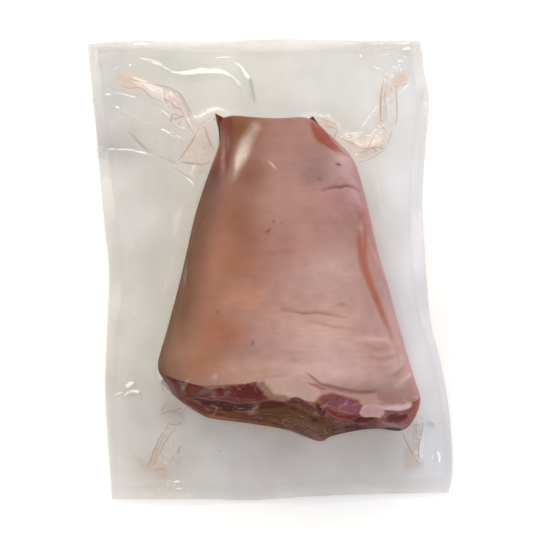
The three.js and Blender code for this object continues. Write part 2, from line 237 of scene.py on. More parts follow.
# The patches of the sawn face, a few of them painted shade and painted reflection as marked below: corners as
# x in mm and a share of the way up from its lower edge, how soft the edge is and how far the middle stands
# out in mm, and the colour.
SAWN_BASE = "#844E3F"
FACE_HEIGHT = 42
SAWN_PATCHES_AND_PAINTED_LIGHT = [
    # The brown left corner.
    ([(-68, -0.1), (-68, 1.15), (-58, 1.1), (-52, 0.95), (-49, 0.6), (-50, 0.3), (-52, -0.1)],
     3, 0.3, "#592114"),
    ([(-66, 1.15), (-40, 1.15), (-38, 0.98), (-44, 0.84), (-52, 0.78), (-60, 0.88)], 3, 0, "#4D1212"),
    # The left muscles, with pale skin between them.
    ([(-50, 0.95), (-41, 0.98), (-35, 0.92), (-33, 0.9), (-41, 0.64), (-46, 0.4), (-50, 0.5)],
     1.5, 0.3, "#5E2714"),
    ([(-31, 0.92), (-24, 0.94), (-18, 0.98), (-11, 0.99), (-7, 0.96), (-4.5, 0.9), (-2.5, 0.8), (0, 0.72),
      (2, 0.63), (-2, 0.62), (-8, 0.66), (-16, 0.71), (-24, 0.7), (-32, 0.68), (-40, 0.63), (-40, 0.72),
      (-36, 0.85)], 1.2, 1.3, "#5B1512"),
    ([(-47, 0.4), (-43, 0.64), (-39, 0.8), (-34.5, 0.92), (-33, 0.9), (-37.5, 0.78), (-41, 0.62), (-45, 0.4)],
     1.2, 0.4, "#321212"),
    ([(-40, 0.61), (-32, 0.66), (-22, 0.71), (-12, 0.72), (-4, 0.66), (2, 0.6), (-6, 0.58), (-14, 0.6),
      (-24, 0.6), (-34, 0.56)], 1.6, 0.6, "#613025"),
    ([(-42, 0.58), (-34, 0.56), (-24, 0.58), (-14, 0.6), (-6, 0.57), (-8, 0.42), (-18, 0.38), (-30, 0.38),
      (-38, 0.36), (-44, 0.45)], 2, -0.5, "#3F1212"),
    ([(-48, 0.4), (-38, 0.36), (-24, 0.37), (-12, 0.35), (0, 0.25), (8, 0.12), (0, 0.08), (-20, 0.1),
      (-40, 0.08), (-50, 0.1)], 2.5, 0.3, "#562312"),
    ([(-31, 0.24), (-22, 0.2), (-17, 0.3), (-26, 0.33)], 2, 0.3, "#6D3912"),
    ([(-27, 0.41), (-21, 0.45), (-19, 0.38), (-22, 0.3), (-26, 0.31)], 1.6, -0.6, "#301212"),
    ([(-46, 0), (-39, 0.1), (-33, 0.16), (-29, 0.13), (-24, 0.13), (-20, 0.04), (-20, -0.1), (-46, -0.1)],
     1.4, 0.5, "#80462E"),
    ([(-20, 0.07), (-10, 0.1), (0, 0.07), (6, 0.02), (6, -0.1), (-20, -0.1)], 1.4, 0.3, "#6A301A"),
    # Grey-brown fibres in the middle, cut along.
    ([(-7, 0.58), (4, 0.57), (12, 0.52), (20, 0.5), (30, 0.45), (36, 0.5), (40, 0.47), (47, 0.35), (52, 0.2),
      (55, -0.1), (8, -0.1), (2, 0.12), (-6, 0.3)], 2, 0, "#56341A"),
    ([(-8, 0.58), (0, 0.57), (10, 0.53), (14, 0.42), (0, 0.42), (-6, 0.46)], 2.5, -0.3, "#4A1812"),
    ([(14, 0.22), (24, 0.25), (36, 0.3), (36, -0.1), (10, -0.1)], 3, 0.3, "#654438"),
    ([(12, 0.5), (16, 0.62), (24, 0.6), (30, 0.57), (31, 0.5), (24, 0.45), (16, 0.44)], 1.6, 0, "#5B302B"),
    # A painted shadow in a narrow hollow.
    ([(26, 0.28), (30, 0.4), (31.5, 0.4), (29, 0.26)], 1, -1, "#331212"),
    ([(36, 0.6), (40, 0.52), (47, 0.42), (54, 0.3), (60, 0.15), (62, -0.1), (48, -0.1), (44, 0.25),
      (38, 0.46)], 2, 0.3, "#613D3C"),
    ([(62, 0.36), (71, 0.36), (71, -0.1), (60, -0.1)], 2.5, 0.2, "#643B3A"),
    ([(48, 0.25), (56, 0.2), (62, 0.1), (62, -0.1), (50, -0.1)], 2.5, 0.2, "#451617"),
    ([(53, 0.4), (60, 0.38), (66, 0.36), (66, 0.28), (62, 0.2), (57, 0.22), (53, 0.32)],
     1.6, -0.6, "#471213"),
    # The right end.
    ([(69, 0.66), (74, 0.6), (80, 0.62), (88, 0.72), (90, 0.4), (88, -0.1), (70, -0.1), (69, 0.3)],
     2, 0.3, "#84504B"),
    ([(74, 0.4), (77, 0.52), (80, 0.58), (86, 0.62), (87, 0.5), (85, 0.4), (80, 0.3), (75, 0.28)],
     1.5, 0.8, "#5D262B"),
    ([(72, 0.28), (80, 0.26), (86, 0.33), (87, 0.15), (80, 0.12), (73, 0.15)], 2, 0.6, "#8F6763"),
    ([(74, 0.1), (80, 0.13), (84, 0.1), (86, -0.1), (73, -0.1)], 1.5, 0.3, "#311212"),
    # Fat under the rind, cream in the middle and pink at the right, where painted reflections lighten it.
    ([(-5, 1.15), (-4.5, 0.93), (-1.5, 0.82), (1, 0.7), (5, 0.6), (11, 0.55), (14, 0.58), (18, 0.63),
      (24, 0.6), (29, 0.65), (31.5, 0.78), (34, 0.9), (38, 0.94), (44, 0.97), (56, 0.9), (58.5, 0.75),
      (57, 0.5), (61, 0.37), (70, 0.36), (72, 0.5), (72, 0.62), (80, 0.66), (89, 0.8), (91, 1), (91, 1.15)],
     1.6, 0.9, "#C29E94"),
    ([(33, 1.15), (33, 0.88), (40, 0.95), (48, 0.93), (56, 0.86), (60, 0.7), (70, 0.72), (72, 1.15)],
     3, 0.4, "#B28A81"),
    ([(3, 0.72), (6, 0.62), (12, 0.58), (20, 0.66), (26, 0.64), (30, 0.75), (26, 0.86), (12, 0.88),
      (2, 0.86)], 4, 0.4, "#BC9D8E"),
    # Pink fat with a broad painted reflection on it.
    ([(58, 0.62), (64, 0.68), (71, 0.6), (71, 0.42), (61, 0.4)], 3, 0.5, "#B58D94"),
    ([(67, 0.95), (70, 0.7), (75, 0.74), (84, 0.9), (88, 1.1), (70, 1.1)], 2.5, 0, "#A3756D"),
    # A pale pink streak: the fat's pink with a painted reflection along it.
    ([(72, 0.62), (75, 0.72), (81, 0.84), (87, 0.98), (90, 0.95), (89, 0.85), (83, 0.74), (77, 0.64)],
     1.6, 1.2, "#CAAAB4"),
    ([(88.5, 1.15), (99, 1.15), (99, -0.1), (89, -0.1)], 2.5, 0.4, "#88473D"),
    ([(-5, 0.95), (-1, 0.72), (4, 0.59), (10, 0.54), (15, 0.57), (13, 0.62), (7, 0.66), (3, 0.77),
      (-1, 0.97)], 2, 0, "#926C58"),
    ([(24, 0.9), (28, 0.94), (31, 1.0), (34, 1.08), (38, 1.06), (37, 0.99), (33, 0.95), (28, 0.9)],
     1.2, 0.3, "#A76C68"),
    # The right muscles, dark red and purple.
    ([(30, 0.6), (32, 0.7), (35, 0.66), (37, 0.55), (34, 0.48), (30.5, 0.5)], 1.2, -1.5, "#421212"),
    ([(39, 0.8), (40, 0.88), (42, 0.94), (46, 0.93), (49, 0.87), (45, 0.76), (42, 0.71), (36, 0.74),
      (33, 0.76), (34, 0.8)], 1.2, 1.2, "#7A424A"),
    ([(47.5, 0.88), (52, 0.87), (56, 0.8), (58, 0.7), (57, 0.52), (52, 0.53), (47, 0.63), (43.5, 0.7)],
     1.2, 1.3, "#834956"),
    ([(48.2, 0.88), (49.6, 0.87), (47.3, 0.76), (45, 0.67), (43.8, 0.69), (46.4, 0.79)], 0.7, 0.5, "#906771"),
    ([(33, 0.72), (38, 0.7), (44, 0.66), (50, 0.56), (56, 0.5), (58, 0.42), (52, 0.36), (46, 0.46),
      (40, 0.56), (35, 0.64)], 1.2, 0.6, "#6D1C1C"),
]
# The patches' edges waver: how far and over what length, in mm.
SAWN_WAVER = [(0.8, 6, 0.0), (0.5, 2, 9.0)]
# Fibres in the middle of the face: how deep they are, where along x they fade in and out, where up the face
# they fade out, and how much they lighten and darken it.
FIBRE_DEPTH, FIBRES_IN, FIBRES_OUT, FIBRES_UP = 0.55 * MM, (-14, -6), (42, 52), (0.42, 0.6)
FIBRE_CONTRAST = 0.5
# The rind's cut edge: a thin brown line over the right half of the sawn face.
RIM_LINE, RIM_LINE_WIDTH, RIM_LINE_STRENGTH = "#80492F", 0.7 * MM, 0.85
RIM_LINE_IN, RIM_LINE_OUT, RIM_LINE_ABOVE = (22, 28), (64, 70), 0.9 * MM
# How bright lean meat and fat are, as linear values.
FAT_BRIGHTNESS = (0.13, 0.3)
# Furrows, folds, scratches and dark specks of the rind, drawn darker than it, and light strokes on the rolls
# low on the right, which are painted highlights, with the darker strokes between them painted shade: a route,
# half a width and a depth in mm, a colour and its strength.
RIND_LINES_AND_PAINTED_LIGHTS = [
    ([(35, 35.3), (39, 36.8), (43.4, 38.3), (46.4, 38.2), (48.8, 39.7), (52.5, 40), (55.7, 39.5), (59, 38.5)],
     0.9, 1.2, "#6E3A30", 0.8),
    ([(53, 35), (57.3, 31.8), (59, 24.5)], 1.4, -0.5, "#BC8F88", 0.4),
    ([(9.7, -40.9), (18.9, -42.1), (22.3, -42.8), (31.4, -42.5), (39.3, -43.5), (47.4, -44.8)],
     0.8, 0.8, "#8A5044", 0.65),
    ([(25.6, -47.3), (33.6, -49), (42.8, -51), (51.9, -52.3)], 0.8, 0.4, "#A06E60", 0.5),
    ([(42.8, -36.9), (47.4, -37.2)], 0.7, 0.3, "#80483C", 0.6),
    ([(14.9, -69.6), (20.5, -70.5)], 0.8, 0.2, "#A07060", 0.5),
    ([(44, 53.8), (46.5, 53.2)], 0.9, 0.8, "#55251E", 0.95),
    ([(4.3, 14.8), (4.9, 14), (5.3, 12.9)], 0.6, 0.2, "#3A2018", 0.75),
    ([(0.3, 7.3), (1.7, 7.9), (3, 9)], 0.7, 0.3, "#5E3024", 0.8),
    ([(9.7, 13.4), (10.2, 13.4)], 0.6, 0, "#5E3024", 0.7),
    ([(-7.9, -61), (-7.5, -59.6)], 0.6, 0.2, "#3E2418", 0.8),
    ([(-29.3, -40.6), (-28.2, -41.5)], 0.6, 0.1, "#4E2A1C", 0.7),
    ([(-6.3, -21.8), (-5.8, -21.8)], 0.6, 0.1, "#4E2A1C", 0.6),
    ([(-23.8, 26.8), (-23.3, 26.8)], 0.6, 0.1, "#4E2A1C", 0.7),
    ([(-36.6, -9.5), (-36.1, -9.5)], 0.6, 0.1, "#4E2A1C", 0.7),
    ([(-32.2, 24.6), (-31.6, 24.4)], 0.7, 0.1, "#4E2A1C", 0.8),
    ([(-11.4, 17.5), (-11, 17.5)], 0.6, 0.1, "#4E2A1C", 0.6),
    ([(31.8, 43), (33.8, 42.3)], 1.1, 0.1, "#5A4440", 0.6),
    ([(26.6, 48.5), (27.4, 48.3)], 0.9, 0.1, "#5A4440", 0.4),
    ([(59.6, 22), (58.6, 9), (58.4, -2), (59.8, -12), (63.2, -22), (67.5, -33), (73.5, -47), (79.5, -61)],
     2.8, 1.2, "#A45A46", 0.5),
    # A painted highlight of a fold in the film, right of the juice channel.
    ([(62.8, 7.4), (65.5, -0.8), (68.7, -7.7), (71.5, -14.5), (74, -22)], 1.0, -0.6, "#C8A29C", 0.5),
    ([(65.7, 3.2), (69, -4.8), (71.7, -13.2), (74.7, -21), (77.3, -28.8)], 1.0, 0.4, "#94706C", 0.5),
    # On the rolls low on the right, the light strokes are painted highlights and the darker ones painted
    # shade.
    ([(54.6, -58), (64.7, -57.3), (74.4, -57.3)], 1.6, -0.8, "#C9A79C", 0.5),
    ([(60, -62), (68, -63.5), (76, -61)], 1.6, 0.8, "#A87A6C", 0.5),
    ([(62.3, -68.3), (70.5, -69.1), (79.1, -65.6)], 1.4, 0.9, "#A06E62", 0.5),
    ([(73, -76), (80, -73), (84, -67)], 1.6, -0.8, "#C8A59C", 0.4),
    ([(79.4, -82.8), (84, -78.9), (88.4, -74.6)], 1.8, -1.1, "#D0B0AC", 0.6),
    ([(76, -79), (80.5, -75), (85, -70)], 1.4, 0.7, "#A87468", 0.5),
    ([(28, 86), (34, 76), (42, 67), (50, 60)], 1.6, 1.2, "#9C5546", 0.3),
    ([(-25, 87), (-24.5, 72), (-24, 56), (-25, 44)], 2.6, 1.4, "#7C4230", 0.6),
]
# The whole surface swells and sinks a little. Relief fades out over these shares of the width and length at
# the outline, so that meat and film stay closed there.
RIND_SWELL, RIND_SWELL_WIDTH = 0.25 * MM, 18
RELIEF_FADE, RIM_FADE = 0.05, 0.01
# Raised rolls and lumps of the rind: x, y, half a width, half a length and a height in mm.
RIND_LUMPS = [
    (-20, 70, 6, 16, 0.4), (-2, 62, 6, 9, 0.3), (29, 44, 3, 3, 0.5), (72, -8, 5, 22, 1.2),
    (68, -59, 6, 3, 0.8), (72, -72, 8, 3, 0.9), (86, -74, 4, 6, 1.0), (-48, -32, 5, 10, 0.9),
    (-45, -8, 4, 9, -0.8), (50, 60, 5, 9, 0.8), (-40, 20, 4, 12, 0.6), (20, 15, 18, 14, 0.5),
    (-18, -48, 16, 9, -0.6), (45, -20, 20, 12, 0.6),
]
# Where the meat is rounded off and juice fills the film: x, y, a radius, and how far in and down it goes, all
# in mm.
ROUNDED_CORNERS = [(-66, -80, 8, 2, 1)]
# The film's tents at the knuckle's corners: a route, and half widths and heights at its two ends, in mm. Skin
# and juice fill the first two, at the shank end.
TENTS = [
    ([SHANK_LEFT, (-42, 89), (-54, 97)], (15, 9), (25, 0)),
    ([SHANK_RIGHT, (45, 84), (58, 78)], (13, 9), (18, 0)),
    ([(-40, 88), (-54, 69)], (9, 8), (4, 0)),
    ([(-58, -84), (-61, -97)], (12, 9), (6, 0)),
    ([(93, -94), (97, -104)], (12, 9), (6, 0)),
]
FILLED_TENTS = TENTS[:2]
# Painted light on the skin deep in those two tents, which lightens their shade: x, y, half a width and half a
# length in mm.
EAR_PAINTED_LIGHT = "#C8907E"
EAR_PAINTED_LIGHT_SPOTS = [(-31.5, 85, 3, 8), (30, 88, 3, 4)]
# Where the rind is full of hair pores: x, y, half a width and half a length in mm.
PORES = [(-40, 8, 9, 24), (-47, -30, 7, 20), (-36, 34, 5, 14)]


def linear(hex_colour):
    """An sRGB colour such as #AABBCC as linear red, green and blue."""
    parts = np.array([int(hex_colour[i:i + 2], 16) / 255 for i in (1, 3, 5)])
    return np.where(parts <= 0.04045, parts / 12.92, ((parts + 0.055) / 1.055) ** 2.4)


def far_from_line(x, y, points):
    """How far each place is from a curve through points in mm, and at what share of the curve."""
    pieces = 39
    line = curve_through(points)(np.linspace(0, 1, pieces + 1))
    nearest, share = np.full(x.shape, np.inf), np.zeros(x.shape)
    for i, (start, end) in enumerate(zip(line, line[1:])):
        step = end - start
        part = np.clip(((x - start[0]) * step[0] + (y - start[1]) * step[1]) / (step @ step), 0, 1)
        gap = np.hypot(x - start[0] - part * step[0], y - start[1] - part * step[1])
        closer = gap < nearest
        nearest, share = np.where(closer, gap, nearest), np.where(closer, (i + part) / pieces, share)
    return nearest, share


def mound(x, y, centre_x, centre_y, half_width, half_length):
    """A soft round mask in mm: 1 in the middle and near 0 past its half sizes."""
    return np.exp(-((x / MM - centre_x) / half_width) ** 2 - ((y / MM - centre_y) / half_length) ** 2)


def inside(x, y, corners, softness):
    """1 well inside a polygon, 0 well outside, with an edge this soft. All in mm."""
    crossings, gap = np.zeros(x.shape, int), np.full(x.shape, np.inf)
    for (x0, y0), (x1, y1) in zip(corners, corners[1:] + corners[:1]):
        step_x, step_y = x1 - x0, y1 - y0
        part = np.clip(((x - x0) * step_x + (y - y0) * step_y) / (step_x ** 2 + step_y ** 2), 0, 1)
        gap = np.minimum(gap, np.hypot(x - x0 - part * step_x, y - y0 - part * step_y))
        if y0 != y1:
            crossings += ((y0 > y) != (y1 > y)) & (x < x0 + (y - y0) * step_x / step_y)
    return ease(np.where(crossings % 2 == 1, gap, -gap), -softness / 2, softness / 2)


def near_to(x, y, route, reach):
    """Which places lie in the box round a route that is this much wider on each side. The route is in mm."""
    xs, ys = np.array(route).T * MM
    return (x > xs.min() - reach) & (x < xs.max() + reach) & (y > ys.min() - reach) & (y < ys.max() + reach)


def line_mask(x, y, route, half_width):
    """1 along a line in mm, less at its ends, and near 0 past half its width."""
    mask = np.zeros(x.shape)
    near = near_to(x, y, route, 3 * half_width * MM)
    if near.any():
        gap, share = far_from_line(x[near], y[near], route)
        mask[near] = np.exp(-(gap / (half_width * MM)) ** 2) * np.sin(np.pi * np.clip(share, 0.1, 0.9)) ** 0.5
    return mask


def lumpy(places, size, seed=0.0):
    """Smooth noise from -1 to 1 whose lumps are this many mm wide."""
    scale = 1 / (size * MM)
    return np.array([noise.noise(Vector(place) * scale + Vector((seed, 0, 0))) for place in places])


def across_from(share):
    return 0.5 - 0.5 * np.cos(np.pi * share)


def along_from(across, share):
    """The sawn face has its own rows, up to the rind's edge, and the rind the rest."""
    rim = sawn_face_run(sawn_edge(across)[:, 0]) / length_at(across)
    on_face = rim * share / FACE_SHARE
    past = np.clip((share - FACE_SHARE) / (1 - FACE_SHARE), 0, 1)
    on_rind = rim + (1 - rim) * (0.5 * past + 0.5 * np.sin(np.pi / 2 * past))
    return np.where(share <= FACE_SHARE, on_face, on_rind)


def tent_over(x, y, tents):
    """How far these tents stand over the knuckle's seam."""
    lift = np.zeros(len(x))
    for route, widths, heights in tents:
        gap, share = far_from_line(x, y, route)
        width = mix(widths[0], widths[1], share) * MM
        height = mix(heights[1], heights[0], (1 - share) ** 2) * MM
        lift = np.maximum(lift, height * np.clip(1 - gap / width, 0, 1) ** 1.2)
    return lift


def knuckle_top(u, v):
    across, along = across_from(u), along_from(across_from(u), v)
    places = upper_form(across, along)
    filled = seam_height(along) + tent_over(places[:, 0], places[:, 1], FILLED_TENTS)
    places[:, 2] = np.maximum(places[:, 2], filled)
    return places


def knuckle_bottom(u, v):
    places = lower_form(across_from(u), along_from(across_from(u), v))
    rim = on_rim(u, v)
    places[rim] = knuckle_top(u[rim], v[rim])
    return places


def rind_relief(x, y):
    """How far the rind stands out, or in where it is less than 0."""
    relief = np.zeros(x.shape)
    for route, half_width, depth, _, _ in RIND_LINES_AND_PAINTED_LIGHTS:
        relief -= depth * MM * line_mask(x, y, route, half_width)
    for *lump, height in RIND_LUMPS:
        relief += height * MM * mound(x, y, *lump)
    return relief


def painted(colours, patch, mask):
    """Colours with a patch of another one laid over them, as far as a mask says."""
    return mix(colours, linear(patch), mask[:, None])


def rind_colour(x, y, across):
    colour = np.tile(linear(RIND), (len(x), 1))
    for *patch, patch_colour, strength in RIND_PATCHES_AND_PAINTED_SHEEN:
        colour = painted(colour, patch_colour, strength * mound(x, y, *patch))
    for route, half_width, _, line_colour, strength in RIND_LINES_AND_PAINTED_LIGHTS:
        colour = painted(colour, line_colour, strength * line_mask(x, y, route, half_width))
    # At the left side a painted shade, and the smoked edge, which is partly painted shade too.
    for start, full, side_colour, strength in RIND_SIDES_AND_PAINTED_SHADE:
        colour = painted(colour, side_colour, strength * ease(across, start, full))
    # Painted light in the ears, against the shade deep in the tents.
    for ear in EAR_PAINTED_LIGHT_SPOTS:
        colour = painted(colour, EAR_PAINTED_LIGHT, mound(x, y, *ear))
    return colour


def sawn_look(places, up):
    """The sawn face's colour and how far it stands out, at places and a share of the way up it."""
    x = places[:, 0]
    warp = sum(width * lumpy(places, size, seed) for width, size, seed in SAWN_WAVER)
    along_fibres = np.column_stack([x / 9, np.zeros(len(x)), up * FACE_HEIGHT * MM + x * 0.16])
    fibres = lumpy(along_fibres, 1.5, 4.0) + 0.5 * lumpy(along_fibres, 0.7, 2.0)
    across_mm, up_mm = x / MM + warp, up * FACE_HEIGHT + warp[::-1]
    colour = np.tile(linear(SAWN_BASE), (len(x), 1))
    relief = np.zeros(x.shape)
    for corners, softness, stands_out, patch in SAWN_PATCHES_AND_PAINTED_LIGHT:
        corners = [(corner_x, corner_up * FACE_HEIGHT) for corner_x, corner_up in corners]
        colour = painted(colour, patch, inside(across_mm, up_mm, corners, softness))
        relief = mix(relief, stands_out * MM, inside(across_mm, up_mm, corners, 5))
    fibrous = ease(x / MM, *FIBRES_IN) * (1 - ease(x / MM, *FIBRES_OUT)) * (1 - ease(up, *FIBRES_UP))
    relief += FIBRE_DEPTH * fibres * fibrous
    streaks = np.clip(1 + FIBRE_CONTRAST * fibres * fibrous, 0.4, 1.6)
    return colour * streaks[:, None], relief


def rim_fade(across, along):
    """0 on the knuckle's outline and 1 a little way in."""
    from_sides, from_ends = np.minimum(across, 1 - across), np.minimum(along, 1 - along)
    return np.clip(np.minimum(from_sides, from_ends) / RIM_FADE, 0, 1)


def share_up_the_face(across, along):
    return along * length_at(across) / sawn_face_run(sawn_edge(across)[:, 0])


def meat_relief(places, across, along):
    """How far the meat stands out from its plain form, on its rind and its sawn face."""
    x, y = places[:, 0], places[:, 1]
    relief = rind_relief(x, y) * ease(across, 0, RELIEF_FADE) * (1 - ease(across, 1 - RELIEF_FADE, 1))
    relief += RIND_SWELL * lumpy(places, RIND_SWELL_WIDTH)
    up = share_up_the_face(across, along)
    on_face = up < 1 - 1e-6
    relief[on_face] = sawn_look(places[on_face], up[on_face])[1]
    return relief * rim_fade(across, along)


def knuckle_mesh():
    mesh = bmesh.new()
    tone = mesh.verts.layers.float_color.new("tone")
    hairy = mesh.verts.layers.float.new("hairy")
    lean = mesh.verts.layers.float.new("lean")
    rows = FACE_ROWS + RIND_ROWS
    upper, shares = add_grid(mesh, COLUMNS, rows, knuckle_top)
    lower, _ = add_grid(mesh, COLUMNS, rows, knuckle_bottom, inside_out=True)
    mesh.verts.index_update()
    on_face = {upper[i].index for i in np.flatnonzero(shares[:, 1] <= FACE_SHARE + 1e-9)}
    for face in mesh.faces:
        face.material_index = int(all(vertex.index in on_face for vertex in face.verts))
    mesh.normal_update()
    places = np.array([vertex.co for vertex in upper])
    across = across_from(shares[:, 0])
    along = along_from(across, shares[:, 1])
    colours = rind_colour(places[:, 0], places[:, 1], across)
    is_face = shares[:, 1] < FACE_SHARE - 1e-9
    colours[is_face] = sawn_look(places[is_face], shares[is_face, 1] / FACE_SHARE)[0]
    from_rim = along * length_at(across) - sawn_face_run(sawn_edge(across)[:, 0])
    rim_line = RIM_LINE_STRENGTH * np.exp(-((from_rim - RIM_LINE_ABOVE) / RIM_LINE_WIDTH) ** 2)
    rim_line *= ease(places[:, 0] / MM, *RIM_LINE_IN) * (1 - ease(places[:, 0] / MM, *RIM_LINE_OUT))
    colours = painted(colours, RIM_LINE, rim_line)
    pores = np.max([mound(places[:, 0], places[:, 1], *patch) for patch in PORES], axis=0)
    for vertex, colour, pore, stands_out in zip(upper, colours, pores, meat_relief(places, across, along)):
        vertex[tone] = (*colour, 1)
        vertex[hairy] = pore
        vertex[lean] = 1 - ease(colour.mean(), *FAT_BRIGHTNESS)
        vertex.co += vertex.normal * (stands_out - FILM_GAP)
    underside = linear(UNDERSIDE_RIND)
    for vertex in lower:
        vertex[tone] = (*underside, 1)
        vertex.co += vertex.normal * -FILM_GAP
    for vertex in upper + lower:
        for centre_x, centre_y, radius, inwards, down in ROUNDED_CORNERS:
            off_x, off_y = vertex.co.x / MM - centre_x, vertex.co.y / MM - centre_y
            pull = math.exp(-(off_x ** 2 + off_y ** 2) / radius ** 2)
            vertex.co.x -= math.copysign(inwards * MM * pull, centre_x)
            vertex.co.y -= math.copysign(inwards * MM * pull, centre_y)
            vertex.co.z -= down * MM * pull * min(1, vertex.co.z / (15 * MM))
    return mesh


def add_node(material, kind, inputs=None, **settings):
    """Adds a node to a material, with its settings. Each input is a value, or a socket to link to it."""
    node = material.node_tree.nodes.new(kind)
    for name, value in settings.items():
        setattr(node, name, value)
    for name, value in (inputs or {}).items():
        if isinstance(value, bpy.types.NodeSocket):
            material.node_tree.links.new(value, node.inputs[name])
        else:
            node.inputs[name].default_value = value
    return node


def place_on(material):
    return add_node(material, "ShaderNodeTexCoord").outputs["Object"]


def layer(material, name, output="Fac"):
    """What one of the mesh's own layers says at each place."""
    return add_node(material, "ShaderNodeAttribute", attribute_name=name).outputs[output]


def noise_at(material, place, scale, detail, roughness=0.5, distortion=0.0):
    noise_node = add_node(material, "ShaderNodeTexNoise",
                          {"Vector": place, "Scale": scale, "Detail": detail, "Roughness": roughness,
                           "Distortion": distortion})
    return noise_node.outputs["Fac"]


def remap(material, value, from_low=0.0, from_high=1.0, to_low=0.0, to_high=1.0):
    """Takes a value from one range to another. Each limit is a number or a socket."""
    node = add_node(material, "ShaderNodeMapRange",
                    {0: value, 1: from_low, 2: from_high, 3: to_low, 4: to_high})
    return node.outputs[0]


def calculate(material, operation, *inputs):
    return add_node(material, "ShaderNodeMath", dict(enumerate(inputs)), operation=operation).outputs[0]


def brightened(material, colour, times):
    return add_node(material, "ShaderNodeVectorMath", {0: colour, 1: times}, operation="MULTIPLY").outputs[0]


def tinted_with(material, colour, tint, share):
    """A colour with this share of a tint in it."""
    node = add_node(material, "ShaderNodeMix", {"Factor": share, "A": colour, "B": (*linear(tint), 1)},
                    data_type="RGBA")
    return node.outputs["Result"]


def clear_light(material):
    return add_node(material, "ShaderNodeBsdfTransparent", {"Color": (1, 1, 1, 1)}).outputs[0]


def blend(material, share, first, second):
    """Two shaders at once: this share of the second, and the rest of the first."""
    return add_node(material, "ShaderNodeMixShader", {0: share, 1: first, 2: second}).outputs[0]


def new_material(name):
    material = bpy.data.materials.new(name)
    material.use_nodes = True
    material.node_tree.nodes.clear()
    return material


def see_surface(material, shader):
    add_node(material, "ShaderNodeOutputMaterial", {"Surface": shader})
    return material


def smoked_rind():
    """Smoked rind: skin cooked by the smoke to a satin brown. It gives soft colour patches, fine lines across
    the leg, dark hair pores on its left side and a moist, low sheen."""
    material = new_material("smoked_pork_rind")
    place = place_on(material)
    # Mottling 8 mm wide, and lines 2.4 mm apart that run across the leg.
    mottle = noise_at(material, place, 120.0, 2.0)
    drawn_out = add_node(material, "ShaderNodeMapping", {"Vector": place, "Scale": (0.25, 1.0, 0.6)})
    lines = noise_at(material, drawn_out.outputs["Vector"], 420.0, 1.0)
    both = calculate(material, "ADD", mottle, calculate(material, "MULTIPLY", lines, 0.5))
    bright = remap(material, both, 0.42, 1.08, 0.89, 1.11)
    shaded = brightened(material, layer(material, "tone", "Color"), bright)
    # Hair pores up to 1.5 mm wide and about 4 mm apart, where the rind is hairy.
    pores = add_node(material, "ShaderNodeTexVoronoi", {"Vector": place, "Scale": 420.0, "Randomness": 1.0})
    size = remap(material, layer(material, "hairy"), to_low=0.04, to_high=0.32)
    spot = remap(material, pores.outputs["Distance"], size, 0.0, 0.0, 2.0)
    draw = add_node(material, "ShaderNodeSeparateColor", {0: pores.outputs["Color"]}).outputs[0]
    pore = calculate(material, "MULTIPLY", spot, calculate(material, "LESS_THAN", draw, 0.45))
    bump = add_node(material, "ShaderNodeBump", {"Height": both, "Strength": 0.2, "Distance": 0.0004})
    skin = add_node(material, "ShaderNodeBsdfPrincipled",
                    {"Base Color": tinted_with(material, shaded, "#52281A", pore),
                     "Normal": bump.outputs["Normal"], "Roughness": 0.5, "IOR": 1.42,
                     "Specular IOR Level": 0.02, "Subsurface Weight": 0.12, "Subsurface Scale": 0.004,
                     "Subsurface Radius": (1.0, 0.35, 0.2)})
    return see_surface(material, skin.outputs[0])


def sawn_meat():
    """Raw-looking smoked muscle and fat, cut by a saw and wet with juice. It gives dark red muscle with fine
    pale marbling, creamy fat, and a wet shine."""
    material = new_material("sawn_pork_muscle_and_fat")
    place = place_on(material)
    lean = layer(material, "lean")
    # Blotches 3 mm wide, stronger in lean meat than in fat.
    blotch = noise_at(material, place, 330.0, 5.0, 0.65)
    dark = remap(material, lean, to_low=0.94, to_high=0.72)
    pale = remap(material, lean, to_low=1.06, to_high=1.28)
    bright = remap(material, blotch, 0.3, 0.7, dark, pale)
    shaded = brightened(material, layer(material, "tone", "Color"), bright)
    # Pale threads of fat about 1 mm apart, which run mostly across.
    drawn_out = add_node(material, "ShaderNodeMapping",
                         {"Vector": place, "Rotation": (0, 0.5, 0.2), "Scale": (0.3, 1.0, 1.0)})
    threads = noise_at(material, drawn_out.outputs["Vector"], 900.0, 2.0, distortion=0.6)
    thread = remap(material, threads, 0.58, 0.74, 0.0, 0.4)
    marbled = tinted_with(material, shaded, "#A8837A", calculate(material, "MULTIPLY", thread, lean))
    bump = add_node(material, "ShaderNodeBump", {"Height": blotch, "Strength": 0.4, "Distance": 0.0006})
    meat = add_node(material, "ShaderNodeBsdfPrincipled",
                    {"Base Color": marbled, "Normal": bump.outputs["Normal"], "Roughness": 0.35, "IOR": 1.42,
                     "Specular IOR Level": 0.03})
    return see_surface(material, meat.outputs[0])


knuckle_form = knuckle_mesh()
knuckle_shape = shape_of(knuckle_form)
finish_piece("knuckle", knuckle_form, [smoked_rind(), sawn_meat()])

# The pouch over the knuckle: clear film of polyamide and polyethylene, which the vacuum draws tight on to the
# meat. Over dry rind the film takes the skin's fine texture and is dull. Over juice it stays glassy.
FILM_THICKNESS = 0.3 * MM
FILM_ACROSS, FILM_ALONG = 190, 240
# The film spans hollows of the meat that are deeper than this.
FILM_SPANS = -0.5 * MM
# A crease is this much higher than half its width, which turns its flanks to the window.
CREASE_STEEPNESS = 0.8
